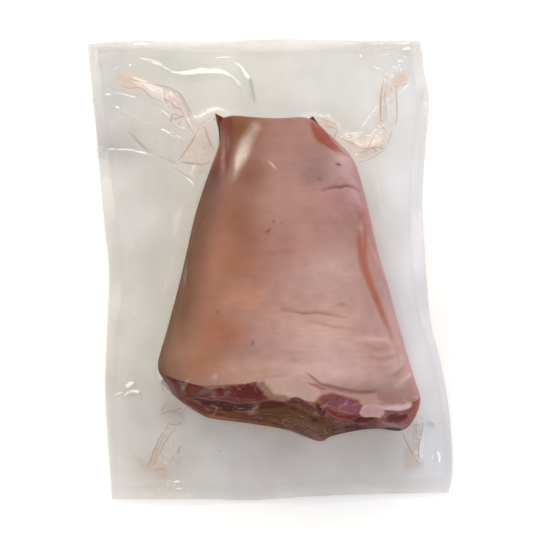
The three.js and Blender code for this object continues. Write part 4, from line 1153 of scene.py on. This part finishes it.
# Each crease: its route in mm, half its width in mm, how brightly it gleams and how dense its juice is.
CREASES = {
    "pouch_creases_back_left": [
        ([(-84, 137.6), (-80, 136.2), (-75, 135), (-70, 133.2), (-66, 131.2)], 0.9, 1, 0),
        ([(-78, 134.7), (-72, 132.7), (-66, 130), (-60, 127)], 0.9, 1, 0),
        ([(-62, 127.6), (-57, 126), (-52, 125.2), (-44, 126), (-36, 126.5), (-28, 126.3), (-22, 124)],
         3.2, 1, 0),
        ([(-66, 133), (-61, 131.5), (-56, 131)], 0.4, 0.5, 0),
        ([(-24, 125.5), (-20, 122), (-17, 117), (-16, 112)], 1.2, 0.8, 0),
        ([(-20, 134), (-17, 130.5), (-11.5, 120), (-7, 106)], 2.2, 0.9, 0),
        ([(-13, 136), (-10, 122), (-7, 107)], 0.8, 0.9, 0), ([(-34, 137.5), (-22, 137.8)], 0.9, 0.8, 0),
        ([(-33, 131), (-27, 130.8)], 0.5, 0.5, 0),
        ([(-100, 113.5), (-94, 113), (-89, 111.3), (-84, 110.3), (-78, 109.6), (-75, 107.5), (-71, 104),
          (-66, 100), (-61.5, 96.5)], 0.8, 1, 0),
        ([(-76.5, 109.8), (-71, 106), (-67.5, 103.5), (-63.5, 101.6)], 0.6, 0.9, 0),
        ([(-70.5, 107), (-65.5, 103.2)], 0.5, 0.7, 0),
        ([(-81.2, 132), (-81.7, 128), (-80.9, 122)], 0.5, 0.8, 0),
        ([(-80.5, 132), (-78.9, 128.5), (-78, 125), (-78.6, 121.8)], 0.5, 0.9, 0),
        ([(-99.5, 130), (-97, 131), (-95.5, 132.2)], 0.9, 0.9, 0),
        ([(-90.5, 131.6), (-88, 132.6)], 0.8, 0.9, 0),
        ([(-98, 122.5), (-95, 126.5), (-90.5, 130)], 0.5, 0.5, 0.06),
        ([(-100, 104.8), (-98, 103.6), (-95, 102.6)], 1.4, 1, 0),
        ([(-97, 103), (-90, 99.5), (-84, 96.5), (-78, 93.5), (-71, 90.5)], 0.7, 0.4, 0),
        ([(-69, 89), (-65, 87), (-61, 84.5)], 1.1, 1, 0),
        ([(-61.5, 88.5), (-58, 84), (-54.5, 81)], 0.6, 0.6, 0),
        ([(-59.8, 77.5), (-58, 74), (-56.8, 71.5)], 0.8, 0.9, 0),
        ([(-65, 86), (-61.5, 80.5), (-60, 77)], 0.5, 0.4, 0),
        ([(-103, 75), (-99.5, 75.4), (-97.5, 75)], 1.3, 0.9, 0),
        ([(-99, 75.2), (-91, 75), (-85, 73.5), (-80, 72.2), (-76, 70.5), (-70, 66.5), (-65, 63), (-60, 60.5),
          (-53, 57.3)], 1.7, 1, 0),
        ([(-63, 65.3), (-59.5, 63)], 0.5, 0.7, 0), ([(-55, 59), (-48.7, 53.4), (-45.5, 49)], 0.8, 0.9, 0),
        ([(-109.5, 79), (-108.5, 74), (-108.8, 70)], 1.8, 0.8, 0), ([(-104, 79), (-103.5, 72)], 0.7, 0.4, 0),
        ([(-105, 114.5), (-103, 109.5), (-101, 103.5)], 2.2, 1, 0),
        ([(-112.8, 113), (-111.2, 105)], 1.4, 0.7, 0), ([(-107.5, 112), (-106.8, 104)], 0.6, 0.4, 0),
        ([(-46.8, 105.5), (-46, 102)], 0.7, 0.5, 0), ([(-54.8, 145.5), (-53.2, 142.5)], 0.4, 0.4, 0),
        ([(-92, 146.9), (-90, 146.7)], 0.7, 0.9, 0), ([(-87, 146), (-82, 146.2), (-76, 146.3)], 1.2, 1, 0),
        ([(-80, 66), (-77.5, 61)], 0.5, 0.4, 0), ([(-75, 76), (-70, 72.5)], 0.5, 0.35, 0),
        ([(-96, 97), (-93.5, 94)], 0.5, 0.4, 0), ([(-75, 84), (-71, 81.5)], 0.6, 0.35, 0),
        ([(-61, 100.8), (-58.5, 98.8)], 0.6, 0.9, 0), ([(-59.5, 102), (-57, 100.2)], 0.5, 0.9, 0),
        ([(-57.5, 94.5), (-53.5, 92.5)], 0.5, 0.7, 0), ([(-56.5, 91.5), (-51.5, 88.5)], 0.5, 0.7, 0),
        ([(-55.5, 97.2), (-51.5, 94)], 0.5, 0.6, 0), ([(-53, 99.5), (-49.5, 93.5)], 0.45, 0.6, 0),
        ([(-50.5, 102), (-46.8, 95.5)], 0.45, 0.5, 0),
        ([(-60, 93.5), (-56.5, 90.5), (-54, 89)], 0.45, 0.5, 0),
        ([(-45.8, 75.5), (-44.4, 72.3), (-45, 68.5)], 0.5, 0.8, 0),
        ([(-47.3, 73), (-48.8, 69.5)], 0.45, 0.7, 0),
        ([(-41.2, 74.3), (-38.5, 71), (-36, 67.5)], 0.45, 0.7, 0),
        ([(-43.4, 86.5), (-42.7, 82.5)], 0.4, 0.5, 0.03), ([(-47.5, 65), (-45.2, 63.2)], 0.8, 0.7, 0),
        ([(-42.6, 81), (-42.1, 78.7)], 0.45, 0.6, 0),
        ([(-81.5, 121.9), (-76, 120.4), (-70, 118.9), (-64, 117.3), (-59, 114.9), (-56.5, 113.2),
          (-54.5, 110.5), (-52, 106), (-49, 100.5), (-46.5, 95.5), (-43.5, 92), (-41.5, 90.5)],
         0.55, 0.15, 0.22),
        ([(-89.5, 124.5), (-86, 122.3), (-80.5, 121.5)], 0.5, 0.1, 0.19),
        ([(-95, 119.3), (-90, 117), (-84, 117.3), (-80, 115.5), (-77.5, 113), (-74, 110), (-70, 108.3),
          (-66, 106)], 0.6, 0.1, 0.15),
        ([(-66.6, 117.2), (-66.2, 113), (-65.6, 108.5), (-63.5, 105.5)], 0.55, 0.15, 0.16),
        ([(-66, 108.7), (-62.5, 108), (-59.5, 104), (-56, 102.3), (-52.5, 98)], 0.5, 0.1, 0.19),
        ([(-62.3, 93.5), (-61.2, 98), (-60.2, 100)], 0.45, 0.1, 0.25),
        ([(-61.8, 96.2), (-57, 96.6), (-53, 98.6)], 0.55, 0.1, 0.25),
        ([(-60.2, 99.6), (-55.5, 97.6)], 0.4, 0.1, 0.19),
        ([(-56.7, 112.5), (-54, 107.5), (-51.5, 102), (-49, 97), (-46, 92.5), (-43.5, 90.3)],
         0.45, 0.2, 0.15),
        ([(-54.5, 98), (-51, 93), (-48.5, 88), (-46, 85)], 0.45, 0.15, 0.12),
        ([(-50.8, 99.5), (-47.5, 93), (-44, 89)], 0.4, 0.3, 0.11),
        ([(-41.8, 91.3), (-46, 84), (-51, 76), (-57, 67.8)], 0.55, 0.15, 0.21),
        ([(-40.2, 90.5), (-38, 84), (-35.5, 77), (-33, 71.5)], 0.55, 0.15, 0.19),
        ([(-56, 67.2), (-49, 66.4), (-42, 65), (-34.5, 63.6)], 0.65, 0.15, 0.21),
        ([(-42.5, 90.5), (-37, 94.6), (-33, 98.3)], 0.45, 0.2, 0.19),
        ([(-89.5, 88), (-85, 83), (-80, 77.5), (-74.5, 72.5)], 0.7, 0.1, 0.12),
        ([(-84, 82.5), (-78, 77), (-73, 74)], 0.6, 0.2, 0.07),
        ([(-70, 72), (-63, 68.5), (-57, 66)], 0.6, 0.15, 0.09),
        ([(-60, 64), (-52, 58.5), (-47, 56)], 0.6, 0.15, 0.07),
        ([(-50, 61), (-44, 59.5), (-38, 58)], 0.5, 0.2, 0.06),
    ],
    "pouch_creases_back_right": [
        ([(60.8, 139.3), (63.8, 137.8)], 1.2, 1, 0), ([(65.5, 138), (68, 137.6)], 0.5, 0.4, 0),
        ([(70.2, 131.7), (73, 130.3), (76, 128.7)], 0.7, 0.9, 0),
        ([(78.6, 133.8), (79.7, 131.3)], 0.8, 0.9, 0), ([(84.2, 132.8), (84.7, 129.7)], 1.5, 1, 0),
        ([(87.4, 133.2), (88.3, 130), (88.4, 127.4)], 0.8, 0.9, 0), ([(86, 135.8), (91, 134.4)], 1.0, 0.8, 0),
        ([(90.8, 136.9), (91.8, 139.3)], 0.6, 0.8, 0), ([(96.2, 138.2), (96.6, 135)], 0.6, 0.9, 0),
        ([(96.3, 133.5), (96.6, 132)], 0.5, 0.5, 0), ([(76, 139.4), (82, 140.1)], 0.7, 0.7, 0),
        ([(89, 142.3), (96.5, 143.2)], 2.0, 0.8, 0), ([(84, 146.9), (95, 147.3)], 0.7, 0.7, 0),
        ([(66, 146.4), (79, 147.4)], 0.6, 0.6, 0), ([(52, 146.9), (63, 147.5)], 0.7, 0.6, 0),
        ([(56, 143.8), (63, 144.1)], 0.5, 0.3, 0), ([(94, 147.2), (95.5, 149)], 0.7, 0.8, 0),
        ([(47, 147.5), (48.5, 146.3)], 0.6, 0.5, 0), ([(15.8, 133.3), (15.9, 131.2)], 0.45, 0.8, 0),
        ([(19.3, 133.1), (19.4, 131.3)], 0.45, 0.6, 0), ([(22, 132.6), (23.2, 131.8)], 0.6, 0.7, 0),
        ([(26.5, 133), (26.6, 131.4)], 0.45, 0.7, 0), ([(31.8, 133), (31.9, 131.5)], 0.4, 0.5, 0),
        ([(41.7, 133.4), (41.8, 131.3)], 0.45, 0.7, 0), ([(41.6, 144.8), (41.8, 143.4)], 0.4, 0.5, 0),
        ([(24, 148), (30, 148)], 0.5, 0.5, 0),
        ([(62, 89.5), (67, 96), (70.5, 101), (74, 105.8)], 0.8, 0.6, 0),
        ([(85.8, 112.2), (89, 114.5), (92, 117.5), (95, 120)], 0.8, 0.8, 0),
        ([(98.4, 118), (98.9, 112)], 1.1, 0.8, 0), ([(100, 121), (101, 112), (101.2, 103)], 1.0, 0.7, 0),
        ([(102.2, 117), (102.6, 108), (103, 99)], 0.9, 0.8, 0), ([(104.3, 107.5), (105.2, 100)], 1.0, 1, 0),
        ([(101.2, 99), (102, 88)], 0.9, 0.6, 0), ([(104, 98), (104, 85)], 0.8, 0.7, 0),
        ([(103.4, 86), (102.7, 79)], 0.8, 0.8, 0), ([(103.8, 126), (104, 118)], 0.7, 0.5, 0),
        ([(101.8, 84), (101.3, 64)], 0.7, 0.35, 0), ([(99.2, 108), (99.4, 92)], 0.6, 0.4, 0),
        ([(61.2, 88), (62.6, 85.4)], 0.9, 1, 0),
        ([(63.3, 85.2), (66.5, 84.2), (69.5, 85.5), (70.8, 87.4)], 0.7, 0.8, 0),
        ([(58.4, 84.4), (59.1, 82)], 0.6, 0.9, 0), ([(65.8, 80), (64.3, 77.6)], 0.7, 0.9, 0),
        ([(73.6, 78.6), (75.4, 76.8), (77.4, 78)], 1.2, 0.9, 0.06), ([(58.8, 73), (59, 70)], 0.8, 1, 0),
        ([(62.2, 66.9), (64.4, 66.7)], 0.6, 0.8, 0), ([(53.5, 74.6), (57.3, 73.3)], 0.7, 0.8, 0),
        ([(71.2, 89.4), (70.2, 86.6)], 0.6, 0.9, 0),
        ([(72.5, 92.5), (74, 90.3), (76.5, 91.5), (79, 93.6)], 0.6, 0.9, 0),
        ([(79.8, 91.7), (83.8, 92.6)], 0.7, 0.9, 0), ([(75, 96), (75.5, 94)], 0.7, 0.7, 0.06),
        ([(47.2, 91.6), (49.8, 89.6)], 1.2, 1, 0), ([(52.3, 84.6), (56.2, 84)], 1.6, 1, 0),
        ([(48.5, 84.3), (55, 80.8), (61.3, 78.2)], 0.5, 0.8, 0),
        ([(80.1, 109.5), (80.5, 105.5)], 0.7, 0.9, 0), ([(80.5, 103.5), (80.8, 101)], 0.6, 0.9, 0),
        ([(76.3, 113), (76.2, 105), (76.8, 98)], 0.6, 0.5, 0.03),
        ([(77.7, 123.5), (77.9, 121.8)], 0.6, 0.8, 0), ([(78.2, 126.5), (78.5, 124.8)], 0.5, 0.7, 0),
        ([(82, 127), (83, 121)], 0.5, 0.4, 0), ([(79.5, 117), (81.5, 110)], 0.5, 0.35, 0),
        ([(44.7, 80), (44.8, 84), (46, 86.6), (48.5, 87.2)], 0.5, 0.2, 0.15),
        ([(47.5, 83.6), (54, 80), (60.5, 77)], 0.5, 0.1, 0.16),
        ([(31.8, 96.2), (38, 94.8), (46.5, 92.8)], 0.45, 0.2, 0.15),
        ([(37, 89.8), (42, 89.6), (47, 88.6)], 0.45, 0.1, 0.17),
        ([(75, 94), (74.8, 104), (75.2, 111), (76.4, 119), (77.4, 123)], 0.5, 0.15, 0.22),
        ([(78.4, 121), (77.7, 112), (77.9, 104), (78.4, 96)], 0.45, 0.2, 0.14),
        ([(85.3, 119), (85.4, 109), (85.5, 99), (84.6, 92)], 0.5, 0.15, 0.19),
        ([(82.6, 90), (80.8, 84), (78.6, 78)], 0.5, 0.2, 0.14),
        ([(71, 85.5), (68, 80), (66, 75)], 0.5, 0.2, 0.12),
        ([(60, 72.3), (66, 74.5), (72, 76.5), (77, 75.3)], 0.5, 0.15, 0.16),
        ([(52, 80), (57, 77), (62, 75.5), (68, 76)], 0.45, 0.2, 0.12),
        ([(74, 93), (77, 89), (80, 86)], 0.45, 0.2, 0.12),
        ([(58.3, 65.5), (63, 67), (70, 70.5), (77, 75)], 0.45, 0.2, 0.11),
        ([(84.5, 118), (88, 119), (93, 119.8)], 0.4, 0.2, 0.09),
    ],
    # The sawn end has only the fine ones below.
    "pouch_creases_sawn_end": [],
    "pouch_creases_front": [
        ([(-66.7, -95), (-64.3, -91.8), (-62.3, -88)], 0.5, 0.15, 0.15),
        ([(-67.3, -96.6), (-62, -95), (-57, -94), (-52.5, -92.7)], 0.5, 0.2, 0.16),
        ([(-66, -97.4), (-62, -96.3), (-57.5, -95.4)], 0.5, 0.35, 0.03),
        ([(-59.5, -95), (-55, -95.5), (-52.6, -97), (-52.3, -100.5)], 0.5, 0.3, 0.12),
        ([(-57.5, -97.4), (-53, -97.9)], 0.5, 0.5, 0),
        ([(-62, -101.7), (-59, -102.8), (-55, -102.6), (-52.6, -100)], 0.5, 0.2, 0.15),
        ([(-54.6, -103.3), (-53, -103.8)], 0.7, 1, 0), ([(-57.6, -104.8), (-56.7, -105.7)], 0.7, 1, 0),
        ([(-66.7, -75.5), (-64, -81.5), (-61.8, -86)], 0.5, 0.3, 0.09),
        ([(-62.8, -88.2), (-60, -86.2), (-56.5, -84.2)], 0.5, 0.6, 0),
        ([(-61.3, -102.6), (-64.5, -107.5), (-67.7, -113), (-70.3, -119.5), (-72.7, -126), (-74.3, -129.5)],
         0.6, 0.15, 0.19),
        ([(-63, -108), (-66, -114), (-68.2, -120), (-70, -128)], 0.5, 0.3, 0.09),
        ([(-56.7, -104.7), (-60, -109), (-63.5, -114.5), (-66.5, -121), (-70, -128.5)], 0.45, 0.15, 0.16),
        ([(-68, -127.3), (-70, -130)], 0.6, 0.8, 0), ([(-74.5, -129.5), (-69.5, -130.2)], 0.5, 0.5, 0.03),
        ([(-70, -131.5), (-66, -130.5), (-61.5, -131.5)], 0.6, 0.1, 0.09),
        ([(-51.6, -110), (-51.2, -114), (-52.2, -120)], 1.2, 0.4, 0),
        ([(-50, -107), (-50.3, -115)], 0.6, 0.3, 0), ([(-48.3, -112.5), (-48.9, -117.5)], 0.8, 0.5, 0),
        ([(-45.8, -105), (-47.6, -115)], 0.8, 0.35, 0),
        ([(-52.7, -121), (-55, -127), (-57, -131)], 0.7, 0.3, 0),
        ([(-42.8, -107.2), (-41.8, -106)], 0.5, 0.5, 0), ([(-41.6, -106.5), (-41.2, -112)], 0.7, 0.4, 0),
        ([(-38.5, -102), (-36.5, -105)], 0.7, 0.3, 0),
        ([(-34.6, -107.5), (-32.4, -106.9), (-30, -109.8)], 0.9, 1, 0),
        ([(-34, -109.2), (-33, -108)], 0.6, 0.8, 0),
        ([(-35.5, -126.5), (-33.3, -123.7), (-31.5, -121), (-30, -118.7)], 1.7, 1, 0),
        ([(-30.3, -118.8), (-28, -120), (-26.3, -122.4)], 0.9, 0.7, 0),
        ([(-26.5, -121.8), (-24, -128)], 0.7, 0.3, 0),
        ([(-58.5, -140), (-54, -139.2), (-50.5, -140)], 1.3, 0.9, 0),
        ([(-57.5, -143.6), (-50.5, -142.9)], 0.7, 0.8, 0), ([(-27.5, -140.5), (-21, -140)], 0.7, 0.6, 0),
        ([(-89.6, -83.5), (-86, -79.5), (-82, -75.5)], 2.4, 1, 0),
        ([(-89.5, -85), (-83.5, -83), (-77.6, -85.8)], 2.2, 1, 0),
        ([(-96, -85), (-92.5, -83.3), (-90, -83.5)], 0.9, 0.7, 0),
        ([(-85.3, -119.5), (-84.5, -121)], 0.6, 0.6, 0), ([(-89.5, -133), (-90, -140)], 0.7, 0.35, 0),
        ([(-86.5, -141), (-86, -145)], 0.6, 0.3, 0), ([(-88, -136.5), (-87, -138)], 0.5, 0.4, 0),
        ([(-86, -139), (-66, -138.5), (-44, -138.2)], 0.5, 0.3, 0),
        ([(-20, -137.8), (14, -137.6)], 0.5, 0.5, 0),
        ([(53, -139.2), (60, -138.6), (66, -139.3)], 0.6, 0.8, 0), ([(56, -136.6), (65, -135)], 0.7, 0.8, 0),
        ([(72, -139.2), (82, -139.1)], 0.6, 0.6, 0), ([(30, -142), (48, -141.5)], 0.5, 0.3, 0),
        ([(85.7, -108.5), (88, -112.5), (90.5, -117.5), (92.5, -121.5), (95, -125.5), (98, -127.4)],
         0.45, 0.15, 0.22),
        ([(99.6, -101.3), (98.8, -105), (97.5, -110), (96.3, -117), (95.8, -125.3)], 0.5, 0.15, 0.19),
        ([(95.5, -97), (100.3, -99.6)], 0.4, 0.2, 0.12),
        ([(91, -103.7), (96, -102.8), (99.8, -100.8)], 0.5, 0.5, 0.03),
        ([(91.5, -106), (93.5, -112)], 0.4, 0.25, 0.07), ([(97, -108.4), (97.5, -107.5)], 0.5, 0.8, 0),
        ([(93, -114), (94.2, -114.7)], 0.9, 1, 0.03), ([(91.6, -115.4), (92.5, -115.9)], 0.5, 0.8, 0),
        ([(96.8, -115.3), (97.2, -114.2)], 0.4, 0.7, 0), ([(95.3, -125.9), (98.8, -127.2)], 0.45, 0.8, 0),
        ([(103.6, -99), (103.4, -103), (101.6, -106)], 2.0, 1, 0),
        ([(104.6, -101), (105.3, -104)], 1.0, 0.8, 0),
        ([(107.4, -118.5), (107.8, -123), (108.6, -128)], 1.5, 1, 0),
        ([(104.6, -120.5), (104.2, -124.3), (101.2, -128)], 0.6, 0.9, 0),
        ([(107.2, -126), (106.5, -130), (103.6, -134.3)], 0.8, 0.6, 0),
        ([(104.7, -133.8), (102.6, -136), (102.5, -139)], 0.8, 0.9, 0),
        ([(104.6, -134.6), (105.8, -135.4)], 0.6, 0.6, 0), ([(105.2, -137), (105.8, -138.4)], 0.6, 0.6, 0),
        ([(109.8, -137.8), (110.5, -139.2)], 1.0, 0.7, 0), ([(101.5, -140.3), (107.5, -141.2)], 0.7, 0.5, 0),
        ([(110.4, -120.4), (111.3, -121.6)], 0.6, 0.5, 0), ([(105, -108.6), (106.2, -109.3)], 0.7, 0.5, 0),
        ([(97, -137.6), (98, -138)], 0.5, 0.5, 0),
    ],
}
# Fine creases: how far their direction spreads in degrees, how far they bend as a share of their length, and
# the least gap between them in mm.
FINE_SPREAD, FINE_BEND, FINE_GAP = 35, 0.35, 0.8
# Crumpled places with many fine creases: the piece they belong to, the place's corners in mm, their number,
# their shortest and longest length in mm, the direction most of them run in, in degrees, and their juice.
CRUMPLES = [
    ("pouch_creases_sawn_end", [(-62, -80), (-50, -80), (-40, -79), (-8, -80), (-8, -102), (-30, -99),
      (-42, -95), (-57, -85)], 12, 3, 9, -15, 0),
    ("pouch_creases_sawn_end", [(-8, -80), (20, -86), (34, -94), (34, -112), (10, -105), (-8, -102)],
     7, 3, 10, -30, 0),
    ("pouch_creases_sawn_end", [(34, -94), (60, -92), (94, -88), (93, -100), (84, -106), (58, -106),
      (36, -110)], 20, 2, 8, 0, 0),
    ("pouch_creases_back_right", [(46, 88), (62, 84), (70, 85), (74, 92), (82, 84), (77, 77), (70, 75),
      (60, 71), (52, 76), (45.5, 81)], 80, 1.6, 5, 20, 0.08),
    ("pouch_creases_back_right", [(74, 94), (75, 116), (78, 127), (84, 127), (86, 116), (85, 92)],
     20, 3, 9, 90, 0.08),
    ("pouch_creases_back_left", [(-65, 115), (-56, 112), (-43, 92), (-48, 86), (-57, 91), (-62, 98),
      (-66, 106)], 34, 2, 7, -55, 0.08),
    ("pouch_creases_back_left", [(-55, 69), (-43, 86), (-36, 68), (-36, 65)], 16, 2, 6, -60, 0.05),
    ("pouch_creases_back_left", [(-62, 88), (-50, 80), (-55, 66), (-70, 72)], 20, 3, 8, -55, 0.02),
    ("pouch_creases_front", [(-66, -96), (-62, -89), (-51, -94), (-52, -101), (-60, -103)],
     24, 1.5, 5, 10, 0.08),
    ("pouch_creases_front", [(-60, -104), (-50, -104), (-54, -124), (-69, -128)], 20, 4, 12, 72, 0.06),
    ("pouch_creases_front", [(92, -103), (99, -101), (96, -122), (92, -118)], 12, 2, 5, 100, 0.06),
    ("pouch_creases_back_left", [(-117, 145.5), (-104, 147), (-106, 138), (-116, 137)], 60, 0.7, 1.6, 0, 0),
    ("pouch_creases_back_left", [(-104, 146), (-60, 147), (-60, 140), (-104, 139)], 50, 0.7, 1.8, 0, 0),
    ("pouch_creases_front", [(-92, -147), (-92, -136), (-20, -139), (-20, -148)], 60, 0.7, 1.8, 0, 0),
    ("pouch_creases_front", [(60, -144), (100, -143), (108, -136), (100, -131), (60, -139)],
     34, 0.7, 1.8, 0, 0),
    ("pouch_creases_back_right", [(50, 147), (98, 148), (98, 138), (50, 138)], 40, 0.7, 1.8, 0, 0),
]


def points_along(route):
    return curve_through(route)(np.linspace(0, 1, 14)) / MM


def fine_creases(others, corners, count, shortest, longest, direction, juice, seed):
    """Short creases scattered over a crumpled place, beside others. The same seed gives the same ones."""
    rng = random.Random(seed)
    xs, ys = zip(*corners)
    taken = [(points_along(route), half_width) for route, half_width, _, _ in others]
    creases = []
    for _ in range(6 * count):
        if len(creases) == count:
            break
        x, y = rng.uniform(min(xs), max(xs)), rng.uniform(min(ys), max(ys))
        if inside(np.array([x]), np.array([y]), corners, 0.1)[0] > 0.5:
            angle = math.radians(direction + rng.gauss(0, FINE_SPREAD))
            half = rng.uniform(shortest, longest) / 2
            step = np.array([math.cos(angle), math.sin(angle)]) * half
            bend = np.array([-step[1], step[0]]) * rng.uniform(-FINE_BEND, FINE_BEND)
            middle = np.array([x, y])
            wide = min(0.28 + 0.06 * half + rng.uniform(0, 0.3), 0.5 * half)
            gleam = rng.choice([0.2, 0.6, 1.0])
            route = [tuple(middle - step), tuple(middle + bend), tuple(middle + step)]
            points = points_along(route)
            gaps = [np.linalg.norm(points[:, None] - other[None], axis=2).min(axis=1) - half_width
                    for other, half_width in taken]
            over = sum(gap < FINE_GAP for gap in gaps)
            # No more than two others may lie under a crease.
            if np.max(over) < 2:
                taken.append((points, wide))
                creases.append((route, wide, gleam, juice * rng.uniform(0, 1.4) * (1 - gleam)))
    return creases


def crease_mesh(creases, seed):
    mesh = bmesh.new()
    gleams = mesh.verts.layers.float.new("gleam")
    juices = mesh.verts.layers.float.new("juice")
    for number, (route, half_width, gleam, juice) in enumerate(creases):
        line = curve_through(route)

        def ridge(u, v, lift):
            ahead, behind = line(np.minimum(v + 0.02, 1)), line(np.maximum(v - 0.02, 0))
            step = (ahead - behind) / np.linalg.norm(ahead - behind, axis=1)[:, None]
            middle = line(v)
            flat = np.column_stack([middle, np.full(len(v), number * MM)])
            wide = half_width * (1 + GLEAM_WIDENS * gleam) * MM * np.sin(np.pi * v) ** 0.5
            wide = wide * (1 + WIDTH_WAVER * lumpy(flat, 5, seed))
            off = 2 * u - 1
            places = middle + np.column_stack([-step[:, 1], step[:, 0]]) * (wide * off)[:, None]
            steep = CREASE_RISE - CREASE_RISE_TO_FRONT * middle[:, 1] * np.abs(step[:, 0])
            steep = steep * (1 + RISE_WAVER * lumpy(flat, 3, seed + 4))
            rise = wide * steep * (1 - np.abs(off) ** 1.08)
            ground = height_of([tight_shape, loose_shape], places)
            return np.column_stack([places, ground + CREASE_OVER_FILM * (lift > 0) + rise * lift])

        length = np.linalg.norm(np.diff(np.array(route), axis=0), axis=1).sum() * MM
        rows = int(np.clip(length / CREASE_STEP, 6, 60))
        for lift, turned in ((1.0, False), (0.0, True)):
            vertices, _ = add_grid(mesh, CREASE_ACROSS, rows,
                                   lambda u, v: ridge(u, v, lift), inside_out=turned)
            for vertex in vertices:
                vertex[gleams] = gleam * lift
                vertex[juices] = CREASE_JUICE * juice * lift
    return mesh


def creased_film():
    """A pinched ridge of the film. It gives thin bright lights, and a brown-pink line where juice is in
    it."""
    material = new_material("clear_film_creases")
    facing = calculate(material, "MULTIPLY", layer(material, "gleam"), 0.075)
    share, gloss = film_gloss(material, facing, 0.05)
    tinted = add_node(material, "ShaderNodeBsdfPrincipled",
                      {"Base Color": (*linear("#AE8873"), 1), "Roughness": 0.5, "Specular IOR Level": 0.0})
    body = blend(material, layer(material, "juice"), clear_light(material), tinted.outputs[0])
    return see_surface(material, blend(material, share, body, gloss))


for seed, (piece, corners, count, shortest, longest, direction, juice) in enumerate(CRUMPLES):
    CREASES[piece] += fine_creases(CREASES[piece], corners, count, shortest, longest, direction, juice, seed)
creased = creased_film()
for seed, (name, creases) in enumerate(CREASES.items()):
    let_light_through(finish_piece(name, crease_mesh(creases, 60.0 + seed), [creased]))

# The studio: a pale table top, a wide soft window behind the pack, whose shine lies along the film's creases,
# small soft lamps on the right, in front and on the left, and an even sky. The camera looks down on the pack,
# 10 degrees off plumb.
CAMERA_DISTANCE, CAMERA_TILT = 1.0, math.radians(10)
CAMERA_TARGET = Vector((2.75, -6.8, 20)) * MM
CAMERA_VIEW_WIDTH = 340.2 * MM
LIGHT_DISTANCE, SKY_STRENGTH, TABLE_HALF_WIDTH = 1.3, 0.72, 3


def table_top():
    mesh = bmesh.new()
    bmesh.ops.create_grid(mesh, x_segments=1, y_segments=1, size=TABLE_HALF_WIDTH)
    table = bpy.data.objects.new("table_top", bpy.data.meshes.new("table_top"))
    mesh.to_mesh(table.data)
    mesh.free()
    paint = new_material("white_table_lacquer")
    white = add_node(paint, "ShaderNodeBsdfPrincipled",
                     {"Base Color": (0.97, 0.97, 0.97, 1), "Roughness": 0.9, "Specular IOR Level": 0.0})
    table.data.materials.append(see_surface(paint, white.outputs[0]))
    bpy.context.scene.collection.objects.link(table)


def add_light(name, azimuth, zenith, size, power, colour):
    """A rectangular lamp that faces the pack, from this direction in degrees."""
    lamp = bpy.data.lights.new(name, "AREA")
    lamp.shape, lamp.size, lamp.size_y, lamp.energy = "RECTANGLE", size[0], size[1], power
    lamp.color = linear(colour)
    light = bpy.data.objects.new(name, lamp)
    azimuth, zenith = math.radians(azimuth), math.radians(zenith)
    towards = Vector((math.cos(azimuth) * math.sin(zenith), math.sin(azimuth) * math.sin(zenith),
                      math.cos(zenith)))
    light.location = towards * LIGHT_DISTANCE
    light.rotation_euler = towards.to_track_quat("Z", "Y").to_euler()
    bpy.context.scene.collection.objects.link(light)


def add_camera():
    camera = bpy.data.objects.new("camera", bpy.data.cameras.new("camera"))
    back = Vector((0, -math.sin(CAMERA_TILT), math.cos(CAMERA_TILT)))
    camera.location = CAMERA_TARGET + back * CAMERA_DISTANCE
    camera.rotation_euler = (CAMERA_TILT, 0, 0)
    camera.data.sensor_width = 36
    camera.data.lens = 36 * CAMERA_DISTANCE / CAMERA_VIEW_WIDTH
    bpy.context.scene.collection.objects.link(camera)
    bpy.context.scene.camera = camera


def even_sky():
    world = bpy.data.worlds.new("studio")
    world.use_nodes = True
    world.node_tree.nodes["Background"].inputs["Color"].default_value = (1, 1, 1, 1)
    world.node_tree.nodes["Background"].inputs["Strength"].default_value = SKY_STRENGTH
    bpy.context.scene.world = world


table_top()
add_light("window", 103, 50, (1.8, 0.4), 12, "#FFF6E2")
add_light("lamp_right", 15, 46, (1.1, 0.2), 3.5, "#EDF0FF")
add_light("lamp_front", -118, 62, (0.4, 0.12), 2, "#FFF9EE")
add_light("lamp_left", 178, 82, (0.5, 0.1), 1.2, "#FFF9EE")
even_sky()
add_camera()
bpy.context.scene.view_settings.view_transform = "Standard"
